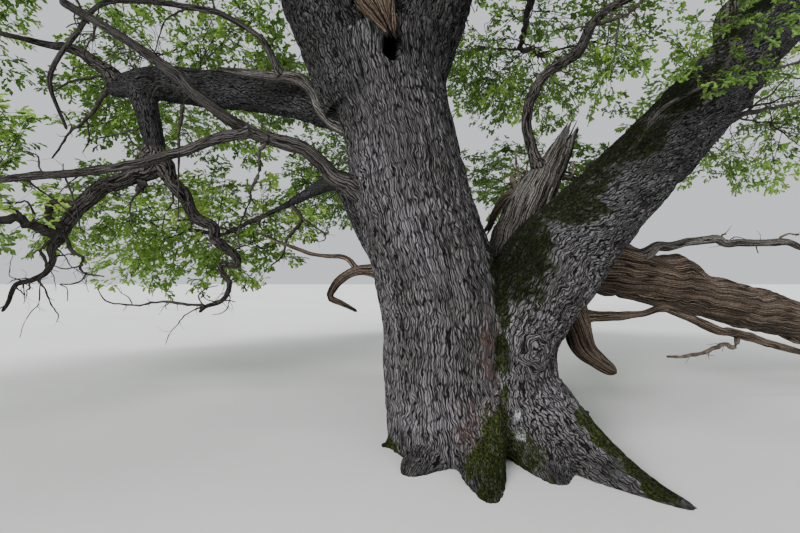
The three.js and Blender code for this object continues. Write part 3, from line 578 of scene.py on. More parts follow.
def move_to(mesh, places):
    mesh.vertices.foreach_set("co", places.astype(np.float32).ravel())
    mesh.update()


def shade_smooth(mesh):
    mesh.polygons.foreach_set("use_smooth", np.ones(len(mesh.polygons), bool))


def tube(limb, sides, rings):
    """A bmesh cylinder for a limb, with how far along and how far round each point lies."""
    bm = bmesh.new()
    bmesh.ops.create_cone(bm, cap_ends=True, segments=sides, radius1=1, radius2=1, depth=1)
    upright = [edge for edge in bm.edges if abs(edge.verts[0].co.z - edge.verts[1].co.z) > 0.5]
    bmesh.ops.subdivide_edges(bm, edges=upright, cuts=rings - 1, use_grid_fill=True)
    round_ = np.array([vert.co[:] for vert in bm.verts])
    run = (round_[:, 2] + 0.5) * limb.length
    angle = np.arctan2(round_[:, 1], round_[:, 0])
    return bm, run, angle


def on_surface(centre, radius, side, face, angle):
    """Places at a radius and an angle round the centre, each across the line of the limb."""
    return centre + radius[:, None] * (np.cos(angle)[:, None] * side + np.sin(angle)[:, None] * face)


def bend_tube(bm, places):
    for vert, place in zip(bm.verts, places):
        vert.co = place


def finished(piece, name, nodes, slot, materials):
    """Names a piece, gives it its materials and hides the solids it stands for."""
    piece.name = name
    piece.data.name = name
    for material in materials:
        piece.data.materials.append(material)
    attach(piece, "root")
    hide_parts(*nodes)


def store(mesh, name, values):
    """Keeps a value for each vertex, for the materials."""
    mesh.attributes.new(name, "FLOAT", "POINT").data.foreach_set("value", np.asarray(values, np.float32))


# The wood

def metres(rows):
    return np.array(rows, float) * MM


def root_stations(foot, heading, reach, height, thick):
    angle = math.radians(heading)
    return metres([[
        foot[0] + math.cos(angle) * reach * share,
        foot[1] + math.sin(angle) * reach * share,
        height * (1 - share) ** ROOT_HOLLOW - thick * ROOT_DIP * share,
        thick * (1 - ROOT_TAPER * share),
    ] for share in ROOT_SHARES])


def bough_stations(mass, carrier):
    """From its limb to a little inside the mass's skin, as in the solid model."""
    at, thick, lift = mass.bough
    start = spine_point(carrier, at)
    depth = np.linalg.norm((start - mass.centre) / mass.size)
    end = mass.centre + (start - mass.centre) * BOUGH_ENTRY / depth
    length = np.linalg.norm(end - start)
    side = unit(np.array([start[1] - end[1], end[0] - start[0], 0]))
    rows = []
    for share in BOUGH_SHARES:
        place = start + (end - start) * share
        place = place + [0, 0, lift * length * math.sin(math.pi * share)]
        place = place + side * BOUGH_SWAY * length * math.sin(2 * math.pi * share)
        rows.append([*place, thick * MM * (1 - BOUGH_TAPER * share)])
    return np.array(rows)


def nearest_limbs(places, limbs, wanted=2):
    """For each place the limbs whose surface is nearest: how far outside it, which, and where on it."""
    count = len(places)
    found = SimpleNamespace(
        outside=np.full((wanted, count), 9.0), which=np.zeros((wanted, count), int),
        run=np.zeros((wanted, count)), angle=np.zeros((wanted, count)))
    for index, limb in enumerate(limbs):
        reach = limb.radius.max() + LIMB_REACH
        low, high = limb.centre.min(0) - reach, limb.centre.max(0) + reach
        near = np.where(np.all((places > low) & (places < high), axis=1))[0]
        if not len(near):
            continue
        for block in np.array_split(near, 1 + len(near) * len(limb.centre) // BLOCK_SIZE):
            p = places[block]
            gap = (p ** 2).sum(1)[:, None] - 2 * p @ limb.centre.T + (limb.centre ** 2).sum(1)[None]
            k = gap.argmin(1)
            q = p - limb.centre[k]
            forward = (q * limb.along[k]).sum(1)
            q = q - limb.along[k] * forward[:, None]
            run = limb.run[k] + forward
            past = np.maximum(0, np.maximum(-run, run - limb.length))
            radius = np.interp(run, limb.run, limb.radius)
            outside = np.linalg.norm(q, axis=1) - radius + 2 * past
            angle = np.arctan2((q * limb.face[k]).sum(1), (q * limb.side[k]).sum(1))
            insert(found, block, outside, index, run, angle)
    return found


def insert(found, block, outside, index, run, angle):
    """Puts one limb's distances in their place in the order from the nearest."""
    values = [outside, np.full(len(block), index), run, angle]
    rows = [found.outside, found.which, found.run, found.angle]
    for order in range(len(found.outside)):
        kept = [row[order, block].copy() for row in rows]
        better = values[0] < kept[0]
        for k, row in enumerate(rows):
            row[order, block] = np.where(better, values[k], kept[k])
            values[k] = np.where(better, kept[k], values[k])


def bark_height(found, limbs, grain_size):
    """Height of the bark, thickness of the limb and share of the boughs, where limbs meet."""
    share = 0.5 * (1 - rise(found.outside[1] - found.outside[0], 0, JOIN))
    height = np.zeros(len(share))
    size = np.zeros(len(share))
    bough = np.zeros(len(share))
    for order, weight in ((0, 1 - share), (1, share)):
        for index, limb in enumerate(limbs):
            here = np.where((found.which[order] == index) & (weight > 0))[0]
            if not len(here):
                continue
            run, angle = found.run[order, here], found.angle[order, here]
            radius = np.interp(run, limb.run, limb.radius)
            width = ridge_width(limb) * radius / limb.bark_radius
            height[here] += weight[here] * as_carved(furrows(limb, run, angle), width, grain_size[here])
            size[here] += weight[here] * radius
            bough[here] += weight[here] * (limb.name in STOUT_NAMES)
    return height, size, bough


def unwrapped(turn, first):
    """Angles moved by whole turns, so that each corner is close to the first corner of its face."""
    return turn + 2 * math.pi * np.round((turn[first] - turn) / (2 * math.pi))


def lay_grain(mesh, which, run, angle, radii, lengths):
    """Gives each corner of each face its distance round and along the limb that the face belongs to."""
    corners = read(mesh.loops, "vertex_index", kind=np.int32)
    starts = read(mesh.polygons, "loop_start", kind=np.int32)
    first = np.repeat(starts, read(mesh.polygons, "loop_total", kind=np.int32))
    limb = which[0, corners[first]]
    order = np.where(which[0, corners] == limb, 0, np.where(which[-1, corners] == limb, len(which) - 1, 0))
    turn = unwrapped(angle[order, corners], first)
    laid = np.stack([turn * radii[limb], run[order, corners] * lengths[limb]], axis=1)
    middle = places_of(mesh)
    for centre, reach, _, plain in BURLS:
        if not plain:
            continue
        from_burl = middle[corners] - centre
        away = np.linalg.norm(from_burl * [1, 1, 0.8], axis=1) + 0.035 * lumps(middle[corners], 0.07, 33)
        round_ = unwrapped(np.arctan2(from_burl[:, 2], from_burl[:, 0]), first)
        ringed = away[first] < reach * (0.75 + 0.2 * lumps(middle[corners[first]], 0.12, 31))
        laid = np.where(ringed[:, None], np.stack([away, 2 + 0.4 * reach * round_], axis=1), laid)
    layer = mesh.uv_layers.new(name="grain")
    layer.data.foreach_set("uv", laid.astype(np.float32).ravel())


# The boughs that grow together with the two columns
STOUT_NAMES = ["leader_left", "leader_right", "left_bough", "hanging_arm", "back_bough_left"]

# Places on the bark, in metres: centre, half sizes, strength

MOSS_PATCHES = [
    ((0.18, -0.15, 1.6), (0.4, 0.6, 0.62), 1.25),
    ((0.75, -0.3, 2.25), (0.42, 0.6, 0.34), 0.85),
    ((1.25, -0.2, 2.8), (0.4, 0.6, 0.34), 0.75),
    ((1.9, -0.1, 3.4), (0.45, 0.6, 0.34), 0.7),
    ((0.02, -0.4, 0.85), (0.1, 0.4, 0.62), 0.9),
    ((-0.02, -0.9, 0.05), (0.42, 0.7, 0.6), 1.6),
    ((0.7, -0.6, 0.4), (0.19, 0.34, 0.26), 1.3),
    ((0.8, -0.8, 0.24), (0.19, 0.34, 0.2), 1.3),
    ((0.94, -1.05, 0.12), (0.21, 0.34, 0.18), 1.3),
    ((-1.0, -0.35, 0.0), (0.3, 0.6, 0.2), 1.0),
]
# Painted shade in the crotch between the stems: centre, half sizes, strength
PAINTED_SHADE_PATCHES = [((0.18, -0.15, 1.62), (0.4, 0.6, 0.55), 1.2)]
RUST_PATCHES = [((-0.1, -0.5, 0.85), (0.14, 0.3, 0.5), 1.0), ((-0.25, -0.6, 0.3), (0.2, 0.4, 0.3), 0.6)]
LICHEN_PATCHES = [((0.14, -0.45, 0.24), (0.045, 0.3, 0.2), 1.3)]
# Uneven growth of all the wood: height and width of the lumps, and their seed
GROWTH_LUMPS = [(0.02, 0.6, 21), (0.009, 0.2, 22)]
# Swellings: centre, reach, height, and how plainly the bark runs round them in rings
BURLS = [((0.31, -0.42, 0.88), 0.19, 0.035, 0.55), ((-0.95, -0.42, 2.35), 0.14, 0.025, 0.0)]
# The knot hole: centre, reach and depth
KNOT_HOLE = ((-0.92, -0.56, 3.46), 0.12, 0.15)
# Swellings of single limbs: distance from the root, angle round the limb, reach and height
SWELLINGS = {"fallen_limb": [(2.2, -1.7, 0.4, 0.11), (1.15, -1.5, 0.3, 0.06)]}


def patches(places, rows):
    total = np.zeros(len(places))
    for centre, size, strength in rows:
        away = (((places - centre) / size) ** 2).sum(1)
        total += strength * np.clip(1 - away, 0, 1)
    return total


def moss_on(places, normals, upper):
    """Moss on top of what leans and lies, and in the patches where water runs."""
    broken = 0.5 * lumps(places, 0.16, 3) + 0.35 * lumps(places, 0.05, 4)
    above = rise(normals @ unit(np.array([-0.35, -0.15, 0.9])), 0.25, 0.85) * upper
    return rise(patches(places, MOSS_PATCHES) + above + broken, 0.35, 1.0)


def painted_shade_on(places, bough):
    """Painted shade on the bark, from 0 to 1: on the boughs, up the stems under the crown, on the right
    bough and in the crotch; the bark is also drawn darker at the foot.
    """
    aside, level = places[:, 0], places[:, 2]
    shade = 0.75 * bough + 0.6 * rise(level, 1.6, 3.8) + 0.4 * (1 - rise(level, 0, 0.3))
    shade += 0.5 * (rise(aside, 0.1, 0.8) * rise(level, 1.2, 2.0))
    return np.clip(shade + patches(places, PAINTED_SHADE_PATCHES), 0, 1)


def from_knot_hole(places):
    """Distance from the middle of the knot hole as a share of its uneven reach."""
    centre, reach, _ = KNOT_HOLE
    away = np.linalg.norm((places - centre) * [1.1, 1, 0.8], axis=1) / reach
    return away + 0.16 * lumps(places, 0.07, 24)


def carve(places, normals, height, size):
    """Moves each place by the bark's furrows, and by the swellings, burls and holes of the wood."""
    stout = np.clip(size / 0.35, 0.12, 1)
    depth = FURROW_DEPTH * np.clip(size / 0.3, 0.25, 1)
    offset = depth * (height - 1) + 0.3 * depth
    offset += stout * sum(high * lumps(places, wide, seed) for high, wide, seed in GROWTH_LUMPS)
    for centre, reach, bulge, _ in BURLS:
        away = np.linalg.norm(places - centre, axis=1) / reach
        offset += bulge * np.clip(1 - away ** 2, 0, 1)
    offset -= KNOT_HOLE[2] * rise(1 - from_knot_hole(places), 0, 0.6)
    return places + normals * offset[:, None]


def plain_on_burls(places, height):
    """Level bark on each burl in place of the long furrows, and in the knot hole a height far below any
    furrow, which the material draws near black as painted shade.
    """
    # Painted shade: the knot hole's height is pushed far below a furrow, so the material draws it near black
    height = height - 8 * rise(1 - from_knot_hole(places), 0.1, 0.4)
    for centre, reach, _, plain in BURLS:
        away = np.linalg.norm(places - centre, axis=1)
        share = plain * rise(1.1 - away / reach, 0, 0.5)
        height = height + (0.6 - height) * share
    return height


def grown_together(limbs):
    """One skin round all the limbs, with the ground cut flat and the side near the eye made finer."""
    joined = bpy.data.meshes.new("grown_together")
    whole = bmesh.new()
    for limb in limbs:
        sides = int(max(20, min(72, 2 * math.pi * limb.radius.max() / STOUT_STEP)))
        bm, run, angle = tube(limb, sides, max(6, int(limb.length / STOUT_RING)))
        bend_tube(bm, on_surface(*between(limb, run), angle))
        bm.to_mesh(joined)
        bm.free()
        whole.from_mesh(joined)
    whole.to_mesh(joined)
    whole.free()
    rough = new_object("grown_together", joined)
    skin = rough.modifiers.new("skin", "REMESH")
    skin.mode = "VOXEL"
    skin.voxel_size = VOXEL
    ease = rough.modifiers.new("ease", "SMOOTH")
    ease.factor = 0.5
    ease.iterations = SKIN_ROUNDS
    seen = rough.evaluated_get(bpy.context.evaluated_depsgraph_get())
    bm = bmesh.new()
    bm.from_mesh(seen.to_mesh())
    bpy.data.objects.remove(rough)
    bmesh.ops.bisect_plane(
        bm, geom=bm.verts[:] + bm.edges[:] + bm.faces[:], plane_co=(0, 0, 0), plane_no=(0, 0, 1),
        clear_inner=True)
    foot = [edge for edge in bm.edges if edge.is_boundary]
    bmesh.ops.triangle_fill(bm, use_beauty=True, use_dissolve=True, edges=foot, normal=(0, 0, -1))
    near = [face for face in bm.faces if is_near(face)]
    bm.edges.index_update()
    edges = {edge.index: edge for face in near for edge in face.edges}
    bmesh.ops.subdivide_edges(
        bm, edges=[edges[k] for k in sorted(edges)], cuts=1, use_grid_fill=True, smooth=0.0)
    bmesh.ops.recalc_face_normals(bm, faces=bm.faces[:])
    return bm


def is_near(face):
    """True for faces near the eye and within its view, that aren't turned away from it."""
    middle = np.array(face.calc_center_median())
    sight = VIEWER - middle
    away = np.linalg.norm(sight)
    top = VIEWER[2] - VIEW_RISE * sight[1]
    facing = np.dot(face.normal, sight) > TURNED_AWAY * away
    return away < NEAR and ON_GROUND < middle[2] < top and facing


def neighbours(mesh, places):
    """How many edges meet at each place."""
    return np.bincount(edge_ends(mesh).ravel(), minlength=len(places)).astype(float)


def eased(mesh, places, rounds):
    """Places drawn a little towards their neighbours, so that nothing is left of the steps of the skin."""
    first, second = edge_ends(mesh)
    count = neighbours(mesh, places)[:, None]
    for _ in range(rounds):
        total = np.stack([
            np.bincount(first, places[second, k], len(places))
            + np.bincount(second, places[first, k], len(places)) for k in range(3)], axis=1)
        places = 0.5 * places + 0.5 * total / count
    return places


def edge_size(mesh, places):
    """Mean length of the edges at each place."""
    first, second = edge_ends(mesh)
    length = np.linalg.norm(places[first] - places[second], axis=1)
    total = np.bincount(first, length, len(places)) + np.bincount(second, length, len(places))
    return total / neighbours(mesh, places)


def dress_stout_wood(limbs):
    """The trunk, the stems and the great boughs as one grown body, carved; it is cut into pieces afterwards.
    """
    mesh = mesh_from(grown_together(limbs), "stout_wood")
    places = places_of(mesh)
    foot = places[:, 2] < FOOT_HEIGHT
    level = eased(mesh, places, EASE_ROUNDS)
    level[foot, 2] = 0
    move_to(mesh, level)
    grain_size = edge_size(mesh, level)
    found = nearest_limbs(level, limbs)
    for index, limb in enumerate(limbs):
        if limb.name == "right_column":
            wound = BOUGH_TWIST * np.maximum(found.run - BOUGH_TWIST_START, 0)
            found.angle -= np.where(found.which == index, wound, 0)
    height, size, bough = bark_height(found, limbs, grain_size)
    height = plain_on_burls(level, height)
    normals = normals_of(mesh)
    carved = carve(level, normals, height, size)
    carved[:, 2] = np.where(foot, 0, np.maximum(carved[:, 2], FOOT_HEIGHT))
    move_to(mesh, carved)
    radii = np.array([limb.bark_radius for limb in limbs])
    lengths = np.array([PLATE_LENGTHS.get(limb.name, 1.0) for limb in limbs])
    lay_grain(mesh, found.which, found.run, found.angle, radii, lengths)
    store(mesh, "relief", height)
    # Painted shade: darker bark on the boughs, up the stems, on the right bough and in the crotch, and
    # darker at the foot
    store(mesh, "shade", painted_shade_on(carved, bough))
    leans = np.where(carved[:, 0] > 0.2, 0.95, 0.6) * rise(carved[:, 2], 1.2, 1.8)
    store(mesh, "moss", moss_on(carved, normals, leans))
    store(mesh, "rust", patches(carved, RUST_PATCHES))
    store(mesh, "lichen", patches(carved, LICHEN_PATCHES))
    shade_smooth(mesh)
    return mesh


# Cuts between the pieces of the stout wood: a point on each plane and its normal

CROTCH_CUT = ((0, 0, 1.75), (0, 0, 1))
VALLEY_CUT = ((0.1, 0, 1.9), (2, 0, -1))
CROWN_CUT = ((0, 0, 4.35), (0, 0, 1))


def flipped(cut):
    return cut[0], tuple(-k for k in cut[1])


def cut_piece(mesh, cuts):
    """What lies on the inner side of every cut, closed by a flat face at each."""
    bm = bmesh.new()
    bm.from_mesh(mesh)
    for place, normal in cuts:
        bmesh.ops.bisect_plane(
            bm, geom=bm.verts[:] + bm.edges[:] + bm.faces[:], plane_co=place, plane_no=normal,
            clear_outer=True)
        rim = [edge for edge in bm.edges if edge.is_boundary]
        made = bmesh.ops.triangle_fill(bm, use_beauty=True, use_dissolve=False, edges=rim, normal=normal)
        for face in made["geom"]:
            if isinstance(face, bmesh.types.BMFace):
                face.smooth = False
        for edge in rim:
            if edge.is_valid:
                edge.smooth = False
    return new_object("piece", mesh_from(bm, "piece"))


# Single limbs: boughs, branches and dead wood

def surface_start(limb, others):
    """How far along its line a limb comes out of what carries it."""
    if not others:
        return 0.0
    outside = nearest_limbs(limb.centre, others, 1).outside[0]
    hidden = np.where(outside < 0)[0]
    return limb.run[hidden.max()] if len(hidden) else 0.0


def crooked(limb, amount):
    """Small kinks along the limb's line, none at its root or tip."""
    share = limb.run / limb.length
    hold = np.clip(np.minimum(share, 1 - share) * 8, 0, 1) * amount
    for k, axis in enumerate((limb.side, limb.face)):
        kink = ripple(limb.run / LONG_KINK, limb.seed + 61 + k)
        kink += 0.5 * ripple(limb.run / SHORT_KINK, limb.seed + 71 + k)
        limb.centre = limb.centre + axis * (kink * hold * limb.radius)[:, None]


def limb_surface(limb, start, run, angle, fineness, collar, twist, wood):
    """Height of the bark or of the bare wood's grain, and the distance from the limb's line."""
    _, radius, _, _ = between(limb, run)
    past_start = np.maximum(run - start, 0) / (COLLAR_REACH * limb.radius[0])
    radius = radius * (1 + collar * np.exp(-(past_start ** 2)))
    knots = ripple(run / (KNOT_SPACING * limb.radius.mean()), limb.seed + 41)
    radius = radius * (1 + KNOT_HEIGHT * np.clip(knots, 0, 1))
    if wood:
        height, offset = split_grain(limb, run, angle + twist * run, fineness)
        radius = radius * (1 + offset)
        depth = np.minimum(0.22 * radius, SPLIT_DEPTH)
    else:
        height = as_carved(furrows(limb, run, angle), ridge_width(limb), fineness)
        depth = FURROW_DEPTH * np.clip(radius / 0.3, 0.3, 1)
    for at, turn, reach, bulge in SWELLINGS.get(limb.name, []):
        away = np.hypot(run - at, (np.mod(angle - turn + math.pi, 2 * math.pi) - math.pi) * radius) / reach
        radius = radius + bulge * np.clip(1 - away ** 2, 0, 1)
    return height, radius + depth * (height - 0.7)


def limb_mesh(bm, limb, height, run, angle, wood):
    """A limb's finished mesh, its faces turned outwards, with what its material reads from it."""
    bmesh.ops.triangulate(bm, faces=[each for each in bm.faces if len(each.verts) > 4])
    bmesh.ops.recalc_face_normals(bm, faces=bm.faces[:])
    if bm.calc_volume(signed=True) < 0:
        bmesh.ops.reverse_faces(bm, faces=bm.faces[:])
    for each in bm.faces:
        each.smooth = True
    mesh = mesh_from(bm, limb.name)
    count = len(mesh.vertices)
    relief = np.full(count, TORN_RELIEF)
    relief[:len(run)] = height
    laid = np.zeros((2, count))
    laid[:, :len(run)] = run, angle
    store(mesh, "relief", relief)
    lay_grain(mesh, np.zeros((1, count), int), laid[:1], laid[1:], np.array([limb.bark_radius]), np.ones(1))
    store(mesh, "moss", moss_on(places_of(mesh), normals_of(mesh), MOSS_ON_WOOD if wood else MOSS_ON_BARK))
    for label in ("shade", "rust", "lichen"):
        store(mesh, label, np.zeros(count))
    return mesh


def single_limb(limb, others, fineness=0.014, collar=0.4, broken=0.0, twist=0.0, wood=False):
    """One limb as a closed piece of its own, with its relief and a rounded or broken tip."""
    sides = int(np.clip(2 * math.pi * limb.radius.mean() / fineness, 9, 120))
    rings = int(np.clip(limb.length / (fineness * 1.5), 8, 420))
    crooked(limb, SLIM_KINKS if limb.radius.mean() < SLIM else STOUT_KINKS)
    start = surface_start(limb, others)
    bm, run, angle = tube(limb, sides, rings)
    centre, _, side, face = between(limb, run)
    height, radius = limb_surface(limb, start, run, angle, fineness, collar, twist, wood)
    if broken:
        spikes = 0.5 * teeth(angle, 6, limb.seed + 51) + 0.5 * teeth(angle, 16, limb.seed + 52)
        splintered = rise(run, limb.length - SPLINTER_ROOT * broken, limb.length)
        run = run + broken * (spikes - 0.2) * splintered
        centre = between(limb, run)[0] + tip_heading(limb) * np.maximum(run - limb.length, 0)[:, None]
    else:
        left = (limb.length - run) / (ROUND_TIP * limb.radius[-1])
        radius = radius * np.sqrt(np.clip(1 - (1 - np.minimum(left, 1)) ** 2, 0.02, 1))
    places = on_surface(centre, radius, side, face, angle)
    places[:, 2] = np.maximum(places[:, 2], SINGLE_HEIGHT)
    bend_tube(bm, places)
    if broken:
        hollow_end(bm, limb, broken)
    return new_object(limb.name, limb_mesh(bm, limb, height, run, angle + twist * run, wood))


def tip_heading(limb):
    return unit(limb.centre[-1] - limb.centre[-4])


def hollow_end(bm, limb, depth):
    """Sinks the face that closes a broken tip, so that splinters stand round a hollow."""
    tip = Vector(limb.centre[-1])
    cap = min((face for face in bm.faces if len(face.verts) > 4),
              key=lambda face: (face.calc_center_median() - tip).length)
    bmesh.ops.inset_region(bm, faces=[cap], thickness=RIM * limb.radius[-1], use_even_offset=False)
    sunk = -Vector(tip_heading(limb)) * depth * HOLLOW
    bmesh.ops.translate(bm, verts=cap.verts[:], vec=sunk)


def split_grain(limb, run, angle, fineness):
    """Bare wood: fine fibres, long splits and flats where slivers have come off."""
    girth = 2 * math.pi * limb.bark_radius
    around = max(12, 4 * int(round(girth / max(0.028, 4 * fineness) / 4)))
    across = (angle / (2 * math.pi) + 0.5) * around
    across = across + 0.5 * rolling(across / 4, run * 1.1, around / 4, limb.seed + 2)
    fibres, label = plates(across, run / 1.5, around, limb.seed)
    fine = rolling(across, run / 0.9, around, limb.seed + 7)
    height = rise(fibres, 0.0, 0.4) * (0.45 + 0.55 * label) * (0.8 + 0.2 * fine)
    wide = max(4, around // 4)
    broad = (angle / (2 * math.pi) + 0.5) * wide
    flats = rolling(broad, run / 1.1, wide, limb.seed + 8)
    deep, _ = plates(broad, run / 1.6 + 0.4, wide, limb.seed + 9)
    return height, 0.09 * flats - 0.12 * (1 - rise(deep, 0.0, 0.16))


# Foliage

def seeded(seed):
    state = seed
    while True:
        state = (state * 1664525 + 1013904223) % 4294967296
        yield state / 4294967296


def own_space(mass, places):
    """True for places that are nearer to this mass, by its own measure, than to any other."""
    depths = np.linalg.norm((places[:, None] - CENTRES[None]) / SIZES[None], axis=2)
    own = depths[:, mass.index].copy()
    depths[:, mass.index] = 99
    return (own <= 1) & (depths.min(1) > own + SPACE_MARGIN)


def is_free(mass, places):
    return own_space(mass, places).all() and clear_of_limbs(places).all()


def clear_of_limbs(places):
    away = np.linalg.norm(places[:, None] - BALLS[None, :, :3], axis=2)
    return (away > BALLS[None, :, 3] + LIMB_MARGIN).all(axis=1)


def inside_solid_box(places):
    return ((places > solid_low - 0.01) & (places < solid_high + 0.01)).all(axis=-1)


def choose_tip(mass, tips, draw):
    """The freest of a few places near the skin of the mass, away from the tips that are there."""
    trials = []
    for _ in range(CANDIDATES):
        up = 2 * next(draw) - 1
        turn = 2 * math.pi * next(draw)
        depth = TIP_DEPTH[0] + (TIP_DEPTH[1] - TIP_DEPTH[0]) * next(draw)
        flat = math.sqrt(1 - up * up)
        trials.append([math.cos(turn) * flat * depth, math.sin(turn) * flat * depth, up * depth])
    trials = np.array(trials)
    places = trials * mass.size + mass.centre
    room = np.linalg.norm(trials[:, None] - np.array(tips)[None], axis=2).min(1)
    free = own_space(mass, places) & clear_of_limbs(places)
    if not free.any():
        return None
    best = int(np.argmax(np.where(free, room, -1)))
    return SimpleNamespace(unit=trials[best], place=places[best])


def bent(start, elbow, end):
    """A path that is straight on either side of the elbow at its middle."""
    def at(t):
        t = np.asarray(t, float)[..., None]
        return np.where(t < 0.5, start + (elbow - start) * 2 * t, elbow + (end - elbow) * (2 * t - 1))
    return at


def twig_to(place, joints, wander):
    """A twig from the joint that is nearest, by air and by the way back to the stem's foot."""
    cost = [np.linalg.norm(joint.place - place) + PATH_WEIGHT * joint.path for joint in joints]
    joint = joints[int(np.argmin(cost))]
    length = np.linalg.norm(joint.place - place)
    elbow = (joint.place + place) / 2 + np.array(wander) * TWIG_WANDER * length
    elbow = elbow + [0, 0, TWIG_LIFT * length]
    return SimpleNamespace(start=joint, length=length, at=bent(joint.place, elbow, place), load=1)


def joints_on(twig, shares):
    before = twig.start.path if twig.start else 0
    return [SimpleNamespace(twig=twig, place=twig.at(share), path=before + share * twig.length)
            for share in shares]


def spray_between(root, tip, roll):
    along = unit(tip - root)
    across = turned(unit(np.array([-along[1], along[0], 0])), along, roll)
    return SimpleNamespace(root=root, tip=tip, along=along, across=across, length=np.linalg.norm(tip - root))


def spray_fits(mass, spray):
    places = [spray.root + (spray.tip - spray.root) * share + spray.across * out * SPRAY_WIDTH * spray.length
              for share, out in SPRAY_TESTS]
    return is_free(mass, np.array(places))


def add_load(twig):
    """Counts a twig on each twig that carries it, down to the stem."""
    carrier = twig.start.twig
    while carrier:
        carrier.load += 1
        carrier = carrier.start.twig if carrier.start else None


def side_sprays(mass, twig, spray, reach, turns):
    """The sprays that leave a twig before its end, where there is room for them."""
    for side, (share, angle) in enumerate(SIDE_SPRAYS):
        turn = math.radians(angle + SIDE_SPRAY_SWING * turns[side + 1])
        heading = turned(spray.along, np.cross(spray.along, spray.across), turn)
        root = twig.at(share * twig.end)
        tip = root + heading * reach * SIDE_SPRAY_SHARE
        extra = spray_between(root, tip, SPRAY_ROLL * turns[side + 1])
        if spray_fits(mass, extra) and inside_solid_box(tip):
            yield extra


def grow_twigs(mass):
    """Twigs and sprays of one mass: the solid model's first ones, and then more by the same rule."""
    draw = seeded(mass.seed)
    foot = mass.foot - mass.heading * STEM_SUNK
    length = np.linalg.norm(foot - mass.centre)
    stem = SimpleNamespace(
        start=None, length=length, load=1, at=bent(foot, foot + mass.heading * 0.5 * length, mass.centre))
    twigs, sprays = [], []
    joints = joints_on(stem, STEM_JOINTS)
    tips = [np.zeros(3)]
    reach = min(SPRAY_LENGTH, SPRAY_IN_MASS * mass.size.min())
    most = TIPS_IN_VIEW.get(mass.name, TIPS)
    for _ in range(ATTEMPTS):
        if len(twigs) >= most:
            break
        tip = choose_tip(mass, tips, draw)
        turns = [next(draw) - 0.5 for _ in range(3)]
        wander = [next(draw) - 0.5 for _ in range(3)]
        if tip is None or not inside_solid_box(tip.place):
            continue
        twig = twig_to(tip.place, joints, wander)
        if not is_free(mass, twig.at(TWIG_TESTS)):
            continue
        twig.end = min(max(1 - reach / twig.length, TWIG_LEAST), TWIG_MOST)
        spray = spray_between(twig.at(twig.end), tip.place, SPRAY_ROLL * turns[0])
        if not spray_fits(mass, spray):
            continue
        tips.append(tip.unit)
        twigs.append(twig)
        sprays.append(spray)
        joints += joints_on(twig, [share * twig.end for share in TWIG_JOINTS])
        add_load(twig)
        sprays += side_sprays(mass, twig, spray, reach, turns)
    return stem, twigs, sprays


# Twigs and leaves as joined meshes

SHOOTS_PER_METRE = 8.5
SHOOT_ANGLES = (35, 62)  # to the spray's axis, in degrees
SHOOT_REACHES = (0.7, 1.05)  # as a share of the way to the spray's edge
SHOOT_TILT = 0.6  # how far shoots stand out of the spray's plane
LEAVES_PER_SHOOT = 8
LEAF_LENGTH = 0.152
LEAF_LENGTH_IN_VIEW = 0.116
LEAF_LENGTH_NEAR = 0.062
LEAF_SIZES = (0.7, 1.15)  # as a share of the length
LEAF_CROWDING = 1.4  # above 1, leaves stand closer together near the tip of a shoot
LEAFY_SHARE = 0.8  # of a shoot's length, from its tip
LEAF_TILT = 0.45  # how unevenly the upper sides of leaves are turned
LEAF_UPRIGHT = 0.35  # how much they turn to the sky
LEAF_TURN = (0.2, 1.5)  # how far leaves turn away from the shoot on either side
LEAF_HANG = 0.25
LEAF_FOLD = 0.35  # how far the edges stand up, for each length out from the midrib
LEAF_DROOP = 0.22  # how far the tip hangs, as a share of the length
SHOOT_RADIUS = 0.0035
SHOOT_TAPER = 0.3
STEM_START = 0.93  # thickness of a mass's stem where it leaves the limb, as a share of the limb's
STEM_RINGS = 16
TWIG_RINGS = 11
TWIG_END = 0.8
# Half the outline of an oak leaf, from its foot to its tip: share of the length, share out from the midrib
LEAF_OUTLINE = [(0.36, 0.17), (0.5, 0.09), (0.74, 0.23)]
# Which of the leaf shades, from 0 to 4, the sprays of a mass may have; the near sprig takes only the
# darkest, 0 and 3, as painted shade
LEAF_TONES_AND_PAINTED_SHADE = {
    "near_sprig": [0, 3, 3], "left_mid": [0, 3, 1, 1, 2], "left_far": [0, 3, 1, 2],
    "left_low_back": [1, 1, 3, 2, 2, 4], "back_left_low": [0, 3, 1], "back_mid": [0, 3, 1, 2],
    "back_low_right": [0, 3, 1]}
ALL_TONES = [0, 1, 2, 3, 4]
# Twigs without leaves, and the side shoots on them, in metres
STOUT_TWIG = 0.015  # a twig that is thicker than this has more sides
SIDE_SHOOTS_PER_METRE = 5
SIDE_SHOOT_REACH = (0.06, 0.2)
SIDE_SHOOT_MOST = 0.006
SIDE_SHOOT_SHARE = 0.45  # thickness as a share of the twig's
WANDERING_REACH = (0.25, 0.8)
WANDERING_RADIUS = (0.007, 0.014)
WANDERING_JOINTS = 5


def thin_tubes(paths, radii, sides):
    """Closed tubes along many paths of equally many places, as one list of places and of faces."""
    count, rings = paths.shape[:2]
    along = unit(np.gradient(paths, axis=1))
    up = np.where(np.abs(along[:, :, 2:3]) > 0.9, [1.0, 0, 0], [0, 0, 1.0])
    side = unit(np.cross(up, along))
    face = np.cross(along, side)
    turn = np.arange(sides) * 2 * math.pi / sides
    ring = (np.cos(turn)[:, None] * side[:, :, None] + np.sin(turn)[:, None] * face[:, :, None])
    places = paths[:, :, None] + ring * radii[:, :, None, None]
    places = places.reshape(-1, 3)
    start = (np.arange(count)[:, None] * rings + np.arange(rings - 1)[None]).reshape(-1, 1) * sides
    here, there = np.arange(sides), (np.arange(sides) + 1) % sides
    quads = np.stack([start + here, start + there, start + sides + there, start + sides + here], axis=-1)
    first = np.arange(count)[:, None] * rings * sides
    foot = first + here[::-1]
    tip = first + (rings - 1) * sides + here
    return places, [quads.reshape(-1, 4), foot, tip]


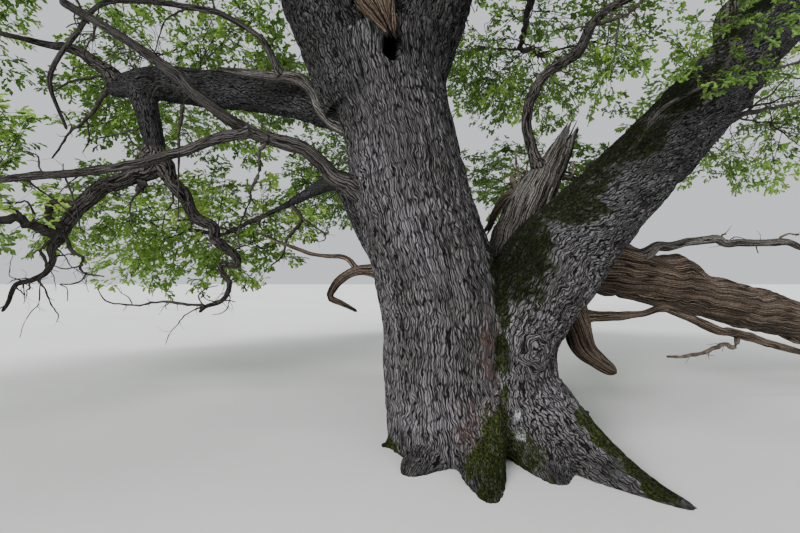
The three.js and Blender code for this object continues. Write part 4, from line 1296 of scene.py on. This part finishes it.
def joined_mesh(name, parts):
    """One mesh from several lists of places, each with groups of faces and the number of its material."""
    mesh = bpy.data.meshes.new(name)
    places, corners, counts, tones, offset = [], [], [], [], 0
    for points, groups, tone in parts:
        for group in groups:
            corners.append((group + offset).ravel())
            counts.append(np.full(len(group), group.shape[1]))
            tones.append(np.full(len(group), tone))
        places.append(points)
        offset += len(points)
    places, corners = np.concatenate(places), np.concatenate(corners)
    counts, tones = np.concatenate(counts), np.concatenate(tones)
    mesh.vertices.add(len(places))
    mesh.vertices.foreach_set("co", places.astype(np.float32).ravel())
    mesh.loops.add(len(corners))
    mesh.loops.foreach_set("vertex_index", corners.astype(np.int32))
    mesh.polygons.add(len(counts))
    mesh.polygons.foreach_set("loop_start", (np.cumsum(counts) - counts).astype(np.int32))
    mesh.polygons.foreach_set("material_index", tones.astype(np.int32))
    mesh.update(calc_edges=True)
    return mesh


def shoots_of(spray, rng):
    """The spray's own axis and its side shoots, within the outline of the solid blade."""
    count = max(3, round(SHOOTS_PER_METRE * spray.length))
    face = np.cross(spray.along, spray.across)
    share = 0.05 + 0.9 * (np.arange(count) + rng.uniform(0.2, 0.8, count)) / count
    hand = np.where(np.arange(count) % 2 == 0, 1, -1)
    angle = np.radians(rng.uniform(*SHOOT_ANGLES, count))
    rising = 0.35 + 0.65 * share / SPRAY_WIDEST
    falling = (1 - share) / (1 - SPRAY_WIDEST)
    width = np.clip(np.where(share < SPRAY_WIDEST, rising, falling), 0.12, 1)
    reach = SPRAY_WIDTH * spray.length * width / np.sin(angle) * rng.uniform(*SHOOT_REACHES, count)
    tilt = rng.uniform(-SHOOT_TILT, SHOOT_TILT, count)
    heading = (np.cos(angle)[:, None] * spray.along + (np.sin(angle) * hand)[:, None] * spray.across
               + tilt[:, None] * face)
    root = spray.root + share[:, None] * (spray.tip - spray.root)
    tip = root + unit(heading) * reach[:, None]
    kept = inside_solid_box(tip)
    return np.vstack([spray.root, root[kept]]), np.vstack([spray.tip, tip[kept]])


def leaves_on(root, tip, spray, size, rng):
    """Leaves along the shoots, most of them near the tips: foot, heading, upper side and size of each."""
    count = len(root)
    share = 1 - rng.uniform(0, 1, (count, LEAVES_PER_SHOOT)) ** LEAF_CROWDING * LEAFY_SHARE
    share[:, 0] = 1.0
    foot = root[:, None] + (tip - root)[:, None] * share[..., None]
    along = unit(tip - root)[:, None]
    face = np.cross(spray.along, spray.across)
    face = face if face[2] > 0 else -face
    upper = unit(face + rng.normal(0, LEAF_TILT, (count, LEAVES_PER_SHOOT, 3)) + [0, 0, LEAF_UPRIGHT])
    hand = np.where(np.arange(LEAVES_PER_SHOOT) % 2 == 0, 1.0, -1.0) * rng.uniform(*LEAF_TURN, share.shape)
    hand[:, 0] = rng.uniform(-0.3, 0.3, count)
    out = np.cross(upper, along)
    heading = along + hand[..., None] * out - [0, 0, LEAF_HANG]
    heading = unit(heading - upper * (heading * upper).sum(-1, keepdims=True))
    size = size * rng.uniform(*LEAF_SIZES, share.shape)
    return foot.reshape(-1, 3), heading.reshape(-1, 3), upper.reshape(-1, 3), size.ravel()


def leaf_blades(foot, heading, upper, size):
    """Lobed leaves folded along the midrib, with drooping tips."""
    out = np.cross(upper, heading)
    half = np.array(LEAF_OUTLINE)
    length = np.concatenate([[0, 1], half[:, 0], half[:, 0]])
    width = np.concatenate([[0, 0], half[:, 1], -half[:, 1]])
    lift = LEAF_FOLD * np.abs(width) - LEAF_DROOP * length ** 2
    places = (foot[:, None] + size[:, None, None] * (
        heading[:, None] * length[None, :, None] + out[:, None] * width[None, :, None]
        + upper[:, None] * lift[None, :, None]))
    right = [(0, 2, 3), (0, 3, 1), (3, 4, 1)]
    left = [(0, 6, 5), (0, 1, 6), (6, 1, 7)]
    faces = np.array(right + left)
    start = np.arange(len(foot)) * len(length)
    return places.reshape(-1, 3), (start[:, None, None] + faces[None]).reshape(-1, 3)


def twig_tube(path, first, last, sides, rng):
    """One twig: a path with small kinks that tapers from its foot to its end."""
    share = np.linspace(0, 1, len(path))
    hold = np.sin(math.pi * share)[:, None]
    path = path + rng.normal(0, 0.01 + 0.2 * first, path.shape) * hold
    radius = first + (last - first) * share
    return thin_tubes(path[None], radius[None], sides)


def side_shoots(path, radius, rng):
    """Short crooked shoots on a bare twig."""
    length = np.linalg.norm(np.diff(path, axis=0), axis=1).sum()
    paths, radii = [], []
    for _ in range(int(length * SIDE_SHOOTS_PER_METRE) + 1):
        k = int(rng.integers(1, len(path)))
        along = unit(path[k] - path[k - 1])
        out = rng.normal(0, 1, 3) + [0, 0, -0.4]
        out = unit(out - along * np.dot(out, along) + 0.5 * along)
        reach = rng.uniform(*SIDE_SHOOT_REACH)
        elbow = path[k] + out * reach * 0.5
        end = elbow + unit(out + rng.normal(0, 0.5, 3)) * reach * 0.5
        paths.append([path[k], elbow, end])
        thick = min(SIDE_SHOOT_SHARE * radius[k], SIDE_SHOOT_MOST)
        radii.append([thick, 0.7 * thick, 0.35 * thick])
    return np.array(paths), np.array(radii)


def bare_twigs(limb, rows, material, slot, rng):
    """The twigs without leaves on one limb, with their own side shoots, as one piece."""
    parts = []
    wood = limb.centre
    for first, last, line in rows:
        line = np.array(line)
        root = wood[np.linalg.norm(wood - line[0], axis=1).argmin()]
        if np.linalg.norm(root - line[0]) > first:
            line = np.vstack([root, line])
        wood = np.vstack([wood, spine_point(line, np.linspace(0, 1, 8 * len(line)))])
        stations = np.column_stack([line, np.linspace(first, last, len(line))])
        share = np.linspace(0, 1, 3 * len(line))
        path = spine_point(stations, share)
        path = path + rng.normal(0, 0.25 * first, path.shape) * np.sin(math.pi * share)[:, None]
        radius = first + (last - first) * share
        radius = radius * rng.uniform(0.85, 1.25, radius.shape)
        parts.append((*thin_tubes(path[None], radius[None], 7 if first > STOUT_TWIG else 5), 0))
        parts.append((*thin_tubes(*side_shoots(path, radius, rng), 4), 0))
    piece = new_object("bare_twigs", joined_mesh("bare_twigs", parts))
    shade_smooth(piece.data)
    finished(piece, f"bare_twigs_{limb.name}", [limb.name], slot, [material])


def wandering_twig(limb, rng):
    """A small crooked twig that leaves a limb somewhere along it and hangs a little."""
    run = limb.length * rng.uniform(0.25, 0.98)
    centre, radius, side, face = between(limb, np.array([run]))
    turn = rng.uniform(0, 2 * math.pi)
    out = math.cos(turn) * side[0] + math.sin(turn) * face[0]
    along = limb.along[min(int(run / limb.length * len(limb.along)), len(limb.along) - 1)]
    heading = unit(out + 0.6 * along)
    place = centre[0] + out * radius[0] * 0.6
    reach = rng.uniform(*WANDERING_REACH)
    line = [place]
    for _ in range(WANDERING_JOINTS):
        heading = unit(heading + rng.normal(0, 0.35, 3) + [0, 0, -0.12])
        place = place + heading * reach / WANDERING_JOINTS
        line.append(place)
    first = min(0.5 * radius[0], rng.uniform(*WANDERING_RADIUS))
    return first, 0.35 * first, line


def dress_mass(mass, materials):
    """Leaves, and the twigs that carry them, in place of one mass."""
    stem, twigs, sprays = grow_twigs(mass)
    rng = np.random.default_rng(mass.seed)
    leaf_length = LEAF_LENGTH_IN_VIEW if mass.name in TIPS_IN_VIEW else LEAF_LENGTH
    leaf_length = LEAF_LENGTH_NEAR if mass.name == "near_sprig" else leaf_length
    thin = min(1.0, mass.tip_radius / (TWIG_RADIUS * stem.load ** TWIG_THICKENING))
    stem_path = stem.at(np.linspace(0, 1, STEM_RINGS))
    stem_end = thin * TWIG_RADIUS * stem.load ** TWIG_THICKENING
    wood = [(*twig_tube(stem_path, STEM_START * mass.tip_radius, stem_end, 8, rng), 0)]
    for twig in twigs:
        radius = thin * TWIG_RADIUS * twig.load ** TWIG_THICKENING
        path = twig.at(np.linspace(0, twig.end, TWIG_RINGS))
        wood.append((*twig_tube(path, radius, thin * TWIG_RADIUS * TWIG_END, 5, rng), 0))
    blades = []
    for spray in sprays:
        root, tip = shoots_of(spray, rng)
        radii = np.outer(np.ones(len(root)), [SHOOT_RADIUS, SHOOT_TAPER * SHOOT_RADIUS])
        radii[0] *= 2
        wood.append((*thin_tubes(np.stack([root, tip], axis=1), thin ** 0.5 * radii, 3), 0))
        places, faces = leaf_blades(*leaves_on(root, tip, spray, leaf_length, rng))
        tone = rng.choice(LEAF_TONES_AND_PAINTED_SHADE.get(mass.name, ALL_TONES))
        blades.append((places, [faces], int(tone)))
    twigs_piece = new_object("twigs", joined_mesh("twigs", wood))
    leaves_piece = new_object("leaves", joined_mesh("leaves", blades))
    node = f"foliage_{mass.name}"
    finished(twigs_piece, f"twigs_{mass.name}", [node], "smooth_bark", [materials.twig])
    finished(leaves_piece, f"leaves_{mass.name}", [node], "foliage", materials.leaves)


# Finishes

def put(tree, kind, inputs=None, **settings):
    """Adds a node with its options, and gives each input a value or the output that feeds it."""
    made = tree.nodes.new(kind)
    for key, value in settings.items():
        setattr(made, key, value)
    for key, value in (inputs or {}).items():
        if isinstance(value, bpy.types.NodeSocket):
            tree.links.new(value, made.inputs[key])
        else:
            made.inputs[key].default_value = value
    return made


def new_group(name, inputs, outputs):
    tree = bpy.data.node_groups.new(name, "ShaderNodeTree")
    for label, kind, value in inputs:
        tree.interface.new_socket(label, in_out="INPUT", socket_type=kind).default_value = value
    for label, kind in outputs:
        tree.interface.new_socket(label, in_out="OUTPUT", socket_type=kind)
    return tree, tree.nodes.new("NodeGroupInput").outputs, tree.nodes.new("NodeGroupOutput").inputs


def mixed(tree, share, first, second, blend="MIX"):
    made = put(tree, "ShaderNodeMix", data_type="RGBA", blend_type=blend)
    for socket, value in ((made.inputs[0], share), (made.inputs[6], first), (made.inputs[7], second)):
        if isinstance(value, bpy.types.NodeSocket):
            tree.links.new(value, socket)
        else:
            socket.default_value = value
    return made.outputs[2]


def maths(tree, operation, first, second=0.0):
    return put(tree, "ShaderNodeMath", {0: first, 1: second}, operation=operation).outputs[0]


def step_up(tree, value, low, high):
    made = put(tree, "ShaderNodeMapRange", {"Value": value, "From Min": low, "From Max": high},
               interpolation_type="SMOOTHSTEP")
    return made.outputs["Result"]


def weathered_group():
    """Colour and fine relief of bark or bare wood: ridges or fibres drawn along the grain, near black deep
    in the furrows and cracks, which is partly the wood's own colour and partly painted shade.
    """
    tree, given, out = new_group(
        "weathered wood",
        [("Relief", "NodeSocketFloat", 0.5), ("Grain", "NodeSocketVector", (0, 0, 0)),
         ("Deep", "NodeSocketColor", (0, 0, 0, 1)), ("Middle", "NodeSocketColor", (0, 0, 0, 1)),
         ("Crest", "NodeSocketColor", (0, 0, 0, 1)), ("Fineness", "NodeSocketFloat", 26.0),
         ("Stretch", "NodeSocketFloat", 0.1), ("Sway", "NodeSocketFloat", 0.03),
         ("Cracks", "NodeSocketFloat", 0.4)],
        [("Color", "NodeSocketColor"), ("Height", "NodeSocketFloat")])

    def vector(operation, first, second):
        return put(tree, "ShaderNodeVectorMath", {0: first, 1: second}, operation=operation).outputs[0]

    def noise(place, scale, detail, roughness=0.5):
        look = {"Vector": place, "Scale": scale, "Detail": detail, "Roughness": roughness}
        return put(tree, "ShaderNodeTexNoise", look, noise_dimensions="2D").outputs["Fac"]

    def shift(**by):
        return put(tree, "ShaderNodeCombineXYZ", by).outputs[0]

    def to_edge(place, scale):
        made = put(tree, "ShaderNodeTexVoronoi", {"Vector": place, "Scale": scale, "Randomness": 0.8},
                   voronoi_dimensions="2D", feature="DISTANCE_TO_EDGE")
        return made.outputs["Distance"]

    fineness = given["Fineness"]
    wave = maths(tree, "ADD", noise(vector("MULTIPLY", given["Grain"], (0.6, 1.0, 0)), 8.0, 3.0, 0.6), -0.5)
    wave = maths(tree, "MULTIPLY", wave, given["Sway"])
    swayed = vector("ADD", given["Grain"], shift(X=wave))
    drawn = vector("MULTIPLY", swayed, shift(X=1.0, Y=given["Stretch"]))
    stagger = noise(vector("MULTIPLY", drawn, (1.0, 0.6, 0)), maths(tree, "MULTIPLY", fineness, 0.55), 0.0)
    stagger = maths(tree, "MULTIPLY", maths(tree, "SUBTRACT", stagger, 0.5), 5.0)
    stagger = maths(tree, "DIVIDE", stagger, fineness)
    drawn = vector("ADD", drawn, shift(Y=stagger))
    ridges = step_up(tree, to_edge(drawn, fineness), 0.0, 0.22)
    across = vector("MULTIPLY", swayed, (1.0, 0.45, 0))
    to_crack = to_edge(across, maths(tree, "MULTIPLY", fineness, 0.7))
    crack = maths(tree, "SUBTRACT", 1.0, step_up(tree, to_crack, 0.0, 0.16))
    fine = noise(vector("MULTIPLY", drawn, (1.0, 2.5, 0)), maths(tree, "MULTIPLY", fineness, 2.4), 4.0, 0.65)
    broad = noise(given["Grain"], 2.2, 3.0, 0.6)
    height = maths(tree, "ADD", ridges, maths(tree, "MULTIPLY", maths(tree, "SUBTRACT", fine, 0.5), 0.7))
    height = maths(tree, "SUBTRACT", height, maths(tree, "MULTIPLY", crack, given["Cracks"]))
    # The mesh's relief darkens the colour too, so its furrows, already shaded by their shape, get painted
    # shade as well
    carved = maths(tree, "MULTIPLY", maths(tree, "SUBTRACT", given["Relief"], 0.6), 0.2)
    height = maths(tree, "ADD", height, carved)
    # From the Deep colour to the Crest colour by height: the near black of the lowest places is partly
    # painted shade
    low = mixed(tree, step_up(tree, height, 0.0, 0.45), given["Deep"], given["Middle"])
    high = mixed(tree, step_up(tree, height, 0.4, 1.25), low, given["Crest"])
    tint = mixed(tree, step_up(tree, broad, 0.3, 0.7), (0.75, 0.73, 0.71, 1), (1.2, 1.18, 1.2, 1))
    tree.links.new(mixed(tree, 1.0, high, tint, "MULTIPLY"), out["Color"])
    tree.links.new(height, out["Height"])
    return tree


def cover_group():
    """Moss, rust-coloured algae and pale lichen laid over a finish where their masks say, and then painted
    shade where its mask says.
    """
    tree, given, out = new_group(
        "growth on bark",
        [("Color", "NodeSocketColor", (0, 0, 0, 1)), ("Height", "NodeSocketFloat", 0.5),
         ("Shade", "NodeSocketFloat", 0.0), ("Moss", "NodeSocketFloat", 0.0),
         ("Rust", "NodeSocketFloat", 0.0), ("Lichen", "NodeSocketFloat", 0.0),
         ("Place", "NodeSocketVector", (0, 0, 0))],
        [("Color", "NodeSocketColor"), ("Roughness", "NodeSocketFloat"), ("Height", "NodeSocketFloat")])

    def noise(scale, roughness):
        look = {"Vector": given["Place"], "Scale": scale, "Detail": 4.0, "Roughness": roughness}
        return put(tree, "ShaderNodeTexNoise", look).outputs["Fac"]

    tufts = noise(55.0, 0.7)
    blotch = noise(9.0, 0.6)
    rust = maths(tree, "MULTIPLY", given["Rust"], step_up(tree, blotch, 0.35, 0.65))
    color = mixed(tree, maths(tree, "MULTIPLY", rust, 0.6), given["Color"], (0.09, 0.05, 0.04, 1))
    specks = step_up(tree, maths(tree, "ADD", tufts, blotch), 0.95, 1.15)
    pale = maths(tree, "MULTIPLY", given["Lichen"], specks)
    color = mixed(tree, pale, color, (0.42, 0.45, 0.46, 1))
    green = mixed(
        tree, step_up(tree, tufts, 0.42, 0.8), (0.004, 0.005, 0.002, 1), (0.052, 0.066, 0.016, 1))
    level = put(tree, "ShaderNodeSeparateXYZ", {0: given["Place"]}).outputs["Z"]
    # Moss drawn lighter and yellower near the ground, fading out between 0.35 m and 1.1 m up
    lighter_low = mixed(tree, step_up(tree, level, 0.35, 1.1), (1.75, 1.85, 1.4, 1), (1, 1, 1, 1))
    green = mixed(tree, 1.0, green, lighter_low, "MULTIPLY")
    patchy = maths(tree, "ADD", maths(tree, "ADD", tufts, blotch), given["Moss"])
    patchy = maths(tree, "SUBTRACT", patchy, maths(tree, "MULTIPLY", given["Height"], 0.7))
    cover = maths(tree, "MULTIPLY", given["Moss"], step_up(tree, patchy, 0.6, 1.5))
    color = mixed(tree, cover, color, green)
    # Painted shade: the colour is multiplied down to (0.42, 0.44, 0.43) of itself where the painted shade
    # mask is 1
    color = mixed(tree, given["Shade"], color, (0.42, 0.44, 0.43, 1), "MULTIPLY")
    tree.links.new(color, out["Color"])
    rough = put(tree, "ShaderNodeMapRange", {"Value": blotch, "To Min": 0.82, "To Max": 1.0})
    tree.links.new(rough.outputs["Result"], out["Roughness"])
    tree.links.new(maths(tree, "ADD", given["Height"], maths(tree, "MULTIPLY", cover, tufts)), out["Height"])
    return tree


def new_material(name, gloss):
    """A material with its tree of nodes and its shader."""
    made = bpy.data.materials.new(name)
    made.use_nodes = True
    shader = made.node_tree.nodes["Principled BSDF"]
    shader.inputs["Specular IOR Level"].default_value = gloss
    return made, made.node_tree, shader


def bark_material(name, groups, deep, middle, crest, **drawing):
    made, tree, shader = new_material(name, 0.08)

    def mask(label):
        return put(tree, "ShaderNodeAttribute", attribute_name=label).outputs["Fac"]

    wood = put(tree, "ShaderNodeGroup", node_tree=groups.weathered)
    for label, value in (("Deep", deep), ("Middle", middle), ("Crest", crest)):
        wood.inputs[label].default_value = (*value, 1)
    for label, value in drawing.items():
        wood.inputs[label.title()].default_value = value
    tree.links.new(mask("relief"), wood.inputs["Relief"])
    tree.links.new(put(tree, "ShaderNodeUVMap", uv_map="grain").outputs["UV"], wood.inputs["Grain"])
    growth = put(tree, "ShaderNodeGroup", node_tree=groups.cover)
    for label in ("Color", "Height"):
        tree.links.new(wood.outputs[label], growth.inputs[label])
    for label in ("Shade", "Moss", "Rust", "Lichen"):
        tree.links.new(mask(label.lower()), growth.inputs[label])
    place = put(tree, "ShaderNodeTexCoord").outputs["Object"]
    tree.links.new(place, growth.inputs["Place"])
    dents = put(tree, "ShaderNodeBump", {
        "Height": growth.outputs["Height"], "Strength": 1.0, "Distance": 0.35 / drawing["fineness"]})
    tree.links.new(growth.outputs["Color"], shader.inputs["Base Color"])
    tree.links.new(growth.outputs["Roughness"], shader.inputs["Roughness"])
    tree.links.new(dents.outputs["Normal"], shader.inputs["Normal"])
    return made


def plain_material(name, first, second, scale, roughness, bump=0.0):
    """Two shades of one colour in soft blotches, for leaves, thin twigs and the floor."""
    made, tree, shader = new_material(name, 0.3)
    place = put(tree, "ShaderNodeTexCoord").outputs["Object"]
    noise = put(tree, "ShaderNodeTexNoise", {"Vector": place, "Scale": scale, "Detail": 3.0}).outputs["Fac"]
    tree.links.new(mixed(tree, step_up(tree, noise, 0.35, 0.65), (*first, 1), (*second, 1)),
                   shader.inputs["Base Color"])
    gloss = put(tree, "ShaderNodeMapRange", {
        "Value": noise, "To Min": roughness - 0.08, "To Max": roughness + 0.08}).outputs["Result"]
    tree.links.new(gloss, shader.inputs["Roughness"])
    if bump:
        dents = put(tree, "ShaderNodeBump", {"Height": noise, "Strength": bump, "Distance": 0.004})
        tree.links.new(dents.outputs["Normal"], shader.inputs["Normal"])
    return made


def all_materials():
    groups = SimpleNamespace(weathered=weathered_group(), cover=cover_group())
    leaf_shades = [
        ((0.085, 0.17, 0.022), (0.13, 0.24, 0.03)), ((0.13, 0.25, 0.03), (0.19, 0.33, 0.045)),
        ((0.18, 0.32, 0.045), (0.25, 0.42, 0.06)), ((0.075, 0.145, 0.024), (0.11, 0.20, 0.03)),
        ((0.22, 0.36, 0.06), (0.31, 0.46, 0.085)),
    ]
    # Deep, middle and crest colours of the bark and wood finishes; each deep colour is partly painted shade
    # in furrows and splits
    return SimpleNamespace(
        bark=bark_material(
            "bark", groups, (0.006, 0.0055, 0.006), (0.054, 0.0515, 0.053), (0.145, 0.139, 0.143),
            fineness=45, stretch=0.14, sway=0.085, cracks=0.55),
        thin=bark_material(
            "thin_bark", groups, (0.004, 0.0035, 0.003), (0.026, 0.023, 0.021), (0.09, 0.083, 0.078),
            fineness=42, stretch=0.14, sway=0.05, cracks=0.35),
        smooth=bark_material(
            "smooth_bark", groups, (0.006, 0.005, 0.005), (0.03, 0.027, 0.025), (0.085, 0.079, 0.075),
            fineness=60, stretch=0.06, sway=0.03, cracks=0.25),
        grey=bark_material(
            "grey_wood", groups, (0.008, 0.007, 0.006), (0.054, 0.05, 0.045), (0.17, 0.159, 0.146),
            fineness=55, stretch=0.025, sway=0.022, cracks=0.35),
        dead=bark_material(
            "dead_wood", groups, (0.008, 0.0055, 0.004), (0.05, 0.037, 0.027), (0.165, 0.13, 0.098),
            fineness=52, stretch=0.02, sway=0.022, cracks=0.3),
        twig=plain_material("twig_bark", (0.013, 0.011, 0.009), (0.04, 0.034, 0.028), 14, 0.9, 0.5),
        dead_twig=plain_material("dead_twig", (0.03, 0.022, 0.016), (0.1, 0.08, 0.06), 14, 0.9, 0.5),
        leaves=[plain_material(f"leaf_{k}", *shades, 0.9, 0.55) for k, shades in enumerate(leaf_shades)])


# Floor, light and eye

# Lamps: name, place, strength and spread, all turned to one place in the fork
LAMPS = [
    ("key", (-8, -11, 6), 4.8, 0.45), ("fill", (9, -8, 5), 1.3, 0.6), ("top", (-4, -6, 16), 2.2, 0.35)]
LIT_PLACE = (0, 0, 2.2)
FLOOR_HALF = 150


def studio():
    bm = bmesh.new()
    bmesh.ops.create_grid(bm, x_segments=1, y_segments=1, size=FLOOR_HALF)
    floor = new_object("floor", mesh_from(bm, "floor"))
    floor.data.materials.append(plain_material("floor", (0.68, 0.68, 0.67), (0.72, 0.72, 0.71), 0.3, 0.9))
    world = bpy.data.worlds.new("studio")
    world.use_nodes = True
    sky = world.node_tree.nodes["Background"]
    sky.inputs["Color"].default_value = (0.93, 0.96, 1.0, 1)
    sky.inputs["Strength"].default_value = 0.8
    bpy.context.scene.world = world
    for name, place, strength, spread in LAMPS:
        lamp = bpy.data.lights.new(name, "SUN")
        lamp.energy = strength
        lamp.angle = spread
        made = new_object(name, lamp)
        made.location = place
        made.rotation_euler = (Vector(LIT_PLACE) - Vector(place)).to_track_quat("-Z", "Y").to_euler()
    camera = bpy.data.cameras.new("eye")
    camera.lens = FOCAL_LENGTH
    camera.sensor_width = SENSOR_WIDTH
    camera.clip_end = 400
    eye = new_object("eye", camera)
    eye.location = VIEWER
    eye.rotation_euler = (math.pi / 2 + LOOK_UP, 0, 0)
    bpy.context.scene.camera = eye


# Making the tree

studio()
finishes = all_materials()

carriers = {"left_stem": metres(LEFT_COLUMN[2:6]), "right_bough": metres(RIGHT_COLUMN[3:])}
carriers.update({name: metres(rows) for name, rows in LIMBS.items()})
masses = []
for order, (name, centre, size, on, bough) in enumerate(MASSES):
    mass = SimpleNamespace(
        name=name, index=order, centre=metres(centre), size=metres(size), bough=bough,
        seed=SEED_STEP * (order + 1))
    if bough:
        carriers[f"bough_{name}"] = bough_stations(mass, carriers[on])
    carrier = carriers[f"bough_{name}" if bough else on]
    mass.foot = spine_point(carrier, 1.0)
    mass.heading = end_heading(carrier)
    mass.tip_radius = carrier[-1, 3]
    masses.append(mass)

CENTRES = np.array([mass.centre for mass in masses])
SIZES = np.array([mass.size for mass in masses])
BALLS = np.concatenate([
    np.column_stack([
        spine_point(rows, np.linspace(0, 1, len(rows) * BALLS_PER_STATION + 1)),
        np.interp(np.linspace(0, len(rows) - 1, len(rows) * BALLS_PER_STATION + 1),
                  np.arange(len(rows)), rows[:, 3])])
    for rows in carriers.values()])

stout = [limb_of("left_column", metres(LEFT_COLUMN), seed=100)]
stout += [limb_of("right_column", metres(RIGHT_COLUMN), seed=200)]
stout += [limb_of(f"root_{k}", root_stations(*root), seed=300 + 10 * k) for k, root in enumerate(ROOTS)]
stout += [limb_of(name, carriers[name], seed=500 + 20 * k) for k, name in enumerate(STOUT_NAMES)]
for limb in stout:
    limb.bark_radius = limb.radius.mean()
    limb.ridge_length = RIDGE_LENGTHS.get(limb.name, STOUT_RIDGE_LENGTH)

wood = dress_stout_wood(stout)
for name, cuts, nodes in (
        ("trunk_bark", [CROTCH_CUT], ["trunk"]),
        ("right_bough_bark", [flipped(CROTCH_CUT), flipped(VALLEY_CUT)], ["right_bough"]),
        ("left_stem_bark", [flipped(CROTCH_CUT), VALLEY_CUT, CROWN_CUT],
         ["left_stem", "left_bough", "hanging_arm", "back_bough_left"]),
        ("leaders_bark", [flipped(CROWN_CUT), VALLEY_CUT], ["leader_left", "leader_right"])):
    finished(cut_piece(wood, cuts), name, nodes, "bark", [finishes.bark])
bpy.data.meshes.remove(wood)

DEAD = {"dead_spur", "dead_crook", "dead_crook_twig", "broken_stump", "stump_spur", "torn_tongue",
        "fallen_limb", "fallen_limb_branch", "torn_hook", "torn_hook_branch"}
SMOOTH = {"grey_branch", "grey_branch_low", "whip"}
WEATHERED = {"broken_stump", "fallen_limb_branch", "dead_spur"}
BROKEN = {
    "broken_stump": 0.42, "fallen_limb": 0.35, "torn_tongue": 0.2, "stump_spur": 0.08, "dead_spur": 0.08}
COLLARS = {"broken_stump": 0.1, "fallen_limb": 0.15}
FINENESS = {"fallen_limb": 0.02, "broken_stump": 0.012}
TWIGGY = {"hanging_arm_left": 16, "hanging_arm_right": 12, "whip": 8, "grey_branch": 6, "grey_branch_low": 7,
          "fallen_limb_branch": 6, "stump_branch": 7}


def slot_and_finish(name):
    if name in DEAD:
        return "dead_wood", finishes.grey if name in WEATHERED else finishes.dead
    if name in SMOOTH:
        return "smooth_bark", finishes.smooth
    return "bark", finishes.thin


grown = list(stout)
for order, (name, rows) in enumerate(carriers.items()):
    if name in STOUT_NAMES or name in ("left_stem", "right_bough"):
        continue
    limb = limb_of(name, metres(KINKS[name]) if name in KINKS else rows, seed=1000 + 30 * order)
    limb.bark_radius = limb.radius.mean()
    limb.ridge_length = SLIM_RIDGE_LENGTH
    piece = single_limb(
        limb, grown, fineness=FINENESS.get(name, 0.014 if name in LIMBS else 0.022),
        collar=COLLARS.get(name, 0.4), broken=BROKEN.get(name, 0.0),
        twist=DEAD_TWIST if name in DEAD else 0.0, wood=name in DEAD)
    slot, finish = slot_and_finish(name)
    finished(piece, f"{name}_wood", [name], slot, [finish])
    grown.append(limb)

twiggy_draw = np.random.default_rng(77)
by_name = {limb.name: limb for limb in grown}
by_name["right_bough"] = limb_of("right_bough", carriers["right_bough"])
bare = {}
for name, first, last, line in BARE_TWIGS:
    bare.setdefault(name, []).append((first, last, line))
for name, count in TWIGGY.items():
    rows = bare.setdefault(name, [])
    rows += [wandering_twig(by_name[name], twiggy_draw) for _ in range(count)]
for name, rows in bare.items():
    finish = finishes.dead_twig if name in DEAD else finishes.twig
    bare_twigs(by_name[name], rows, finish, slot_and_finish(name)[0], twiggy_draw)

for mass in masses:
    dress_mass(mass, finishes)
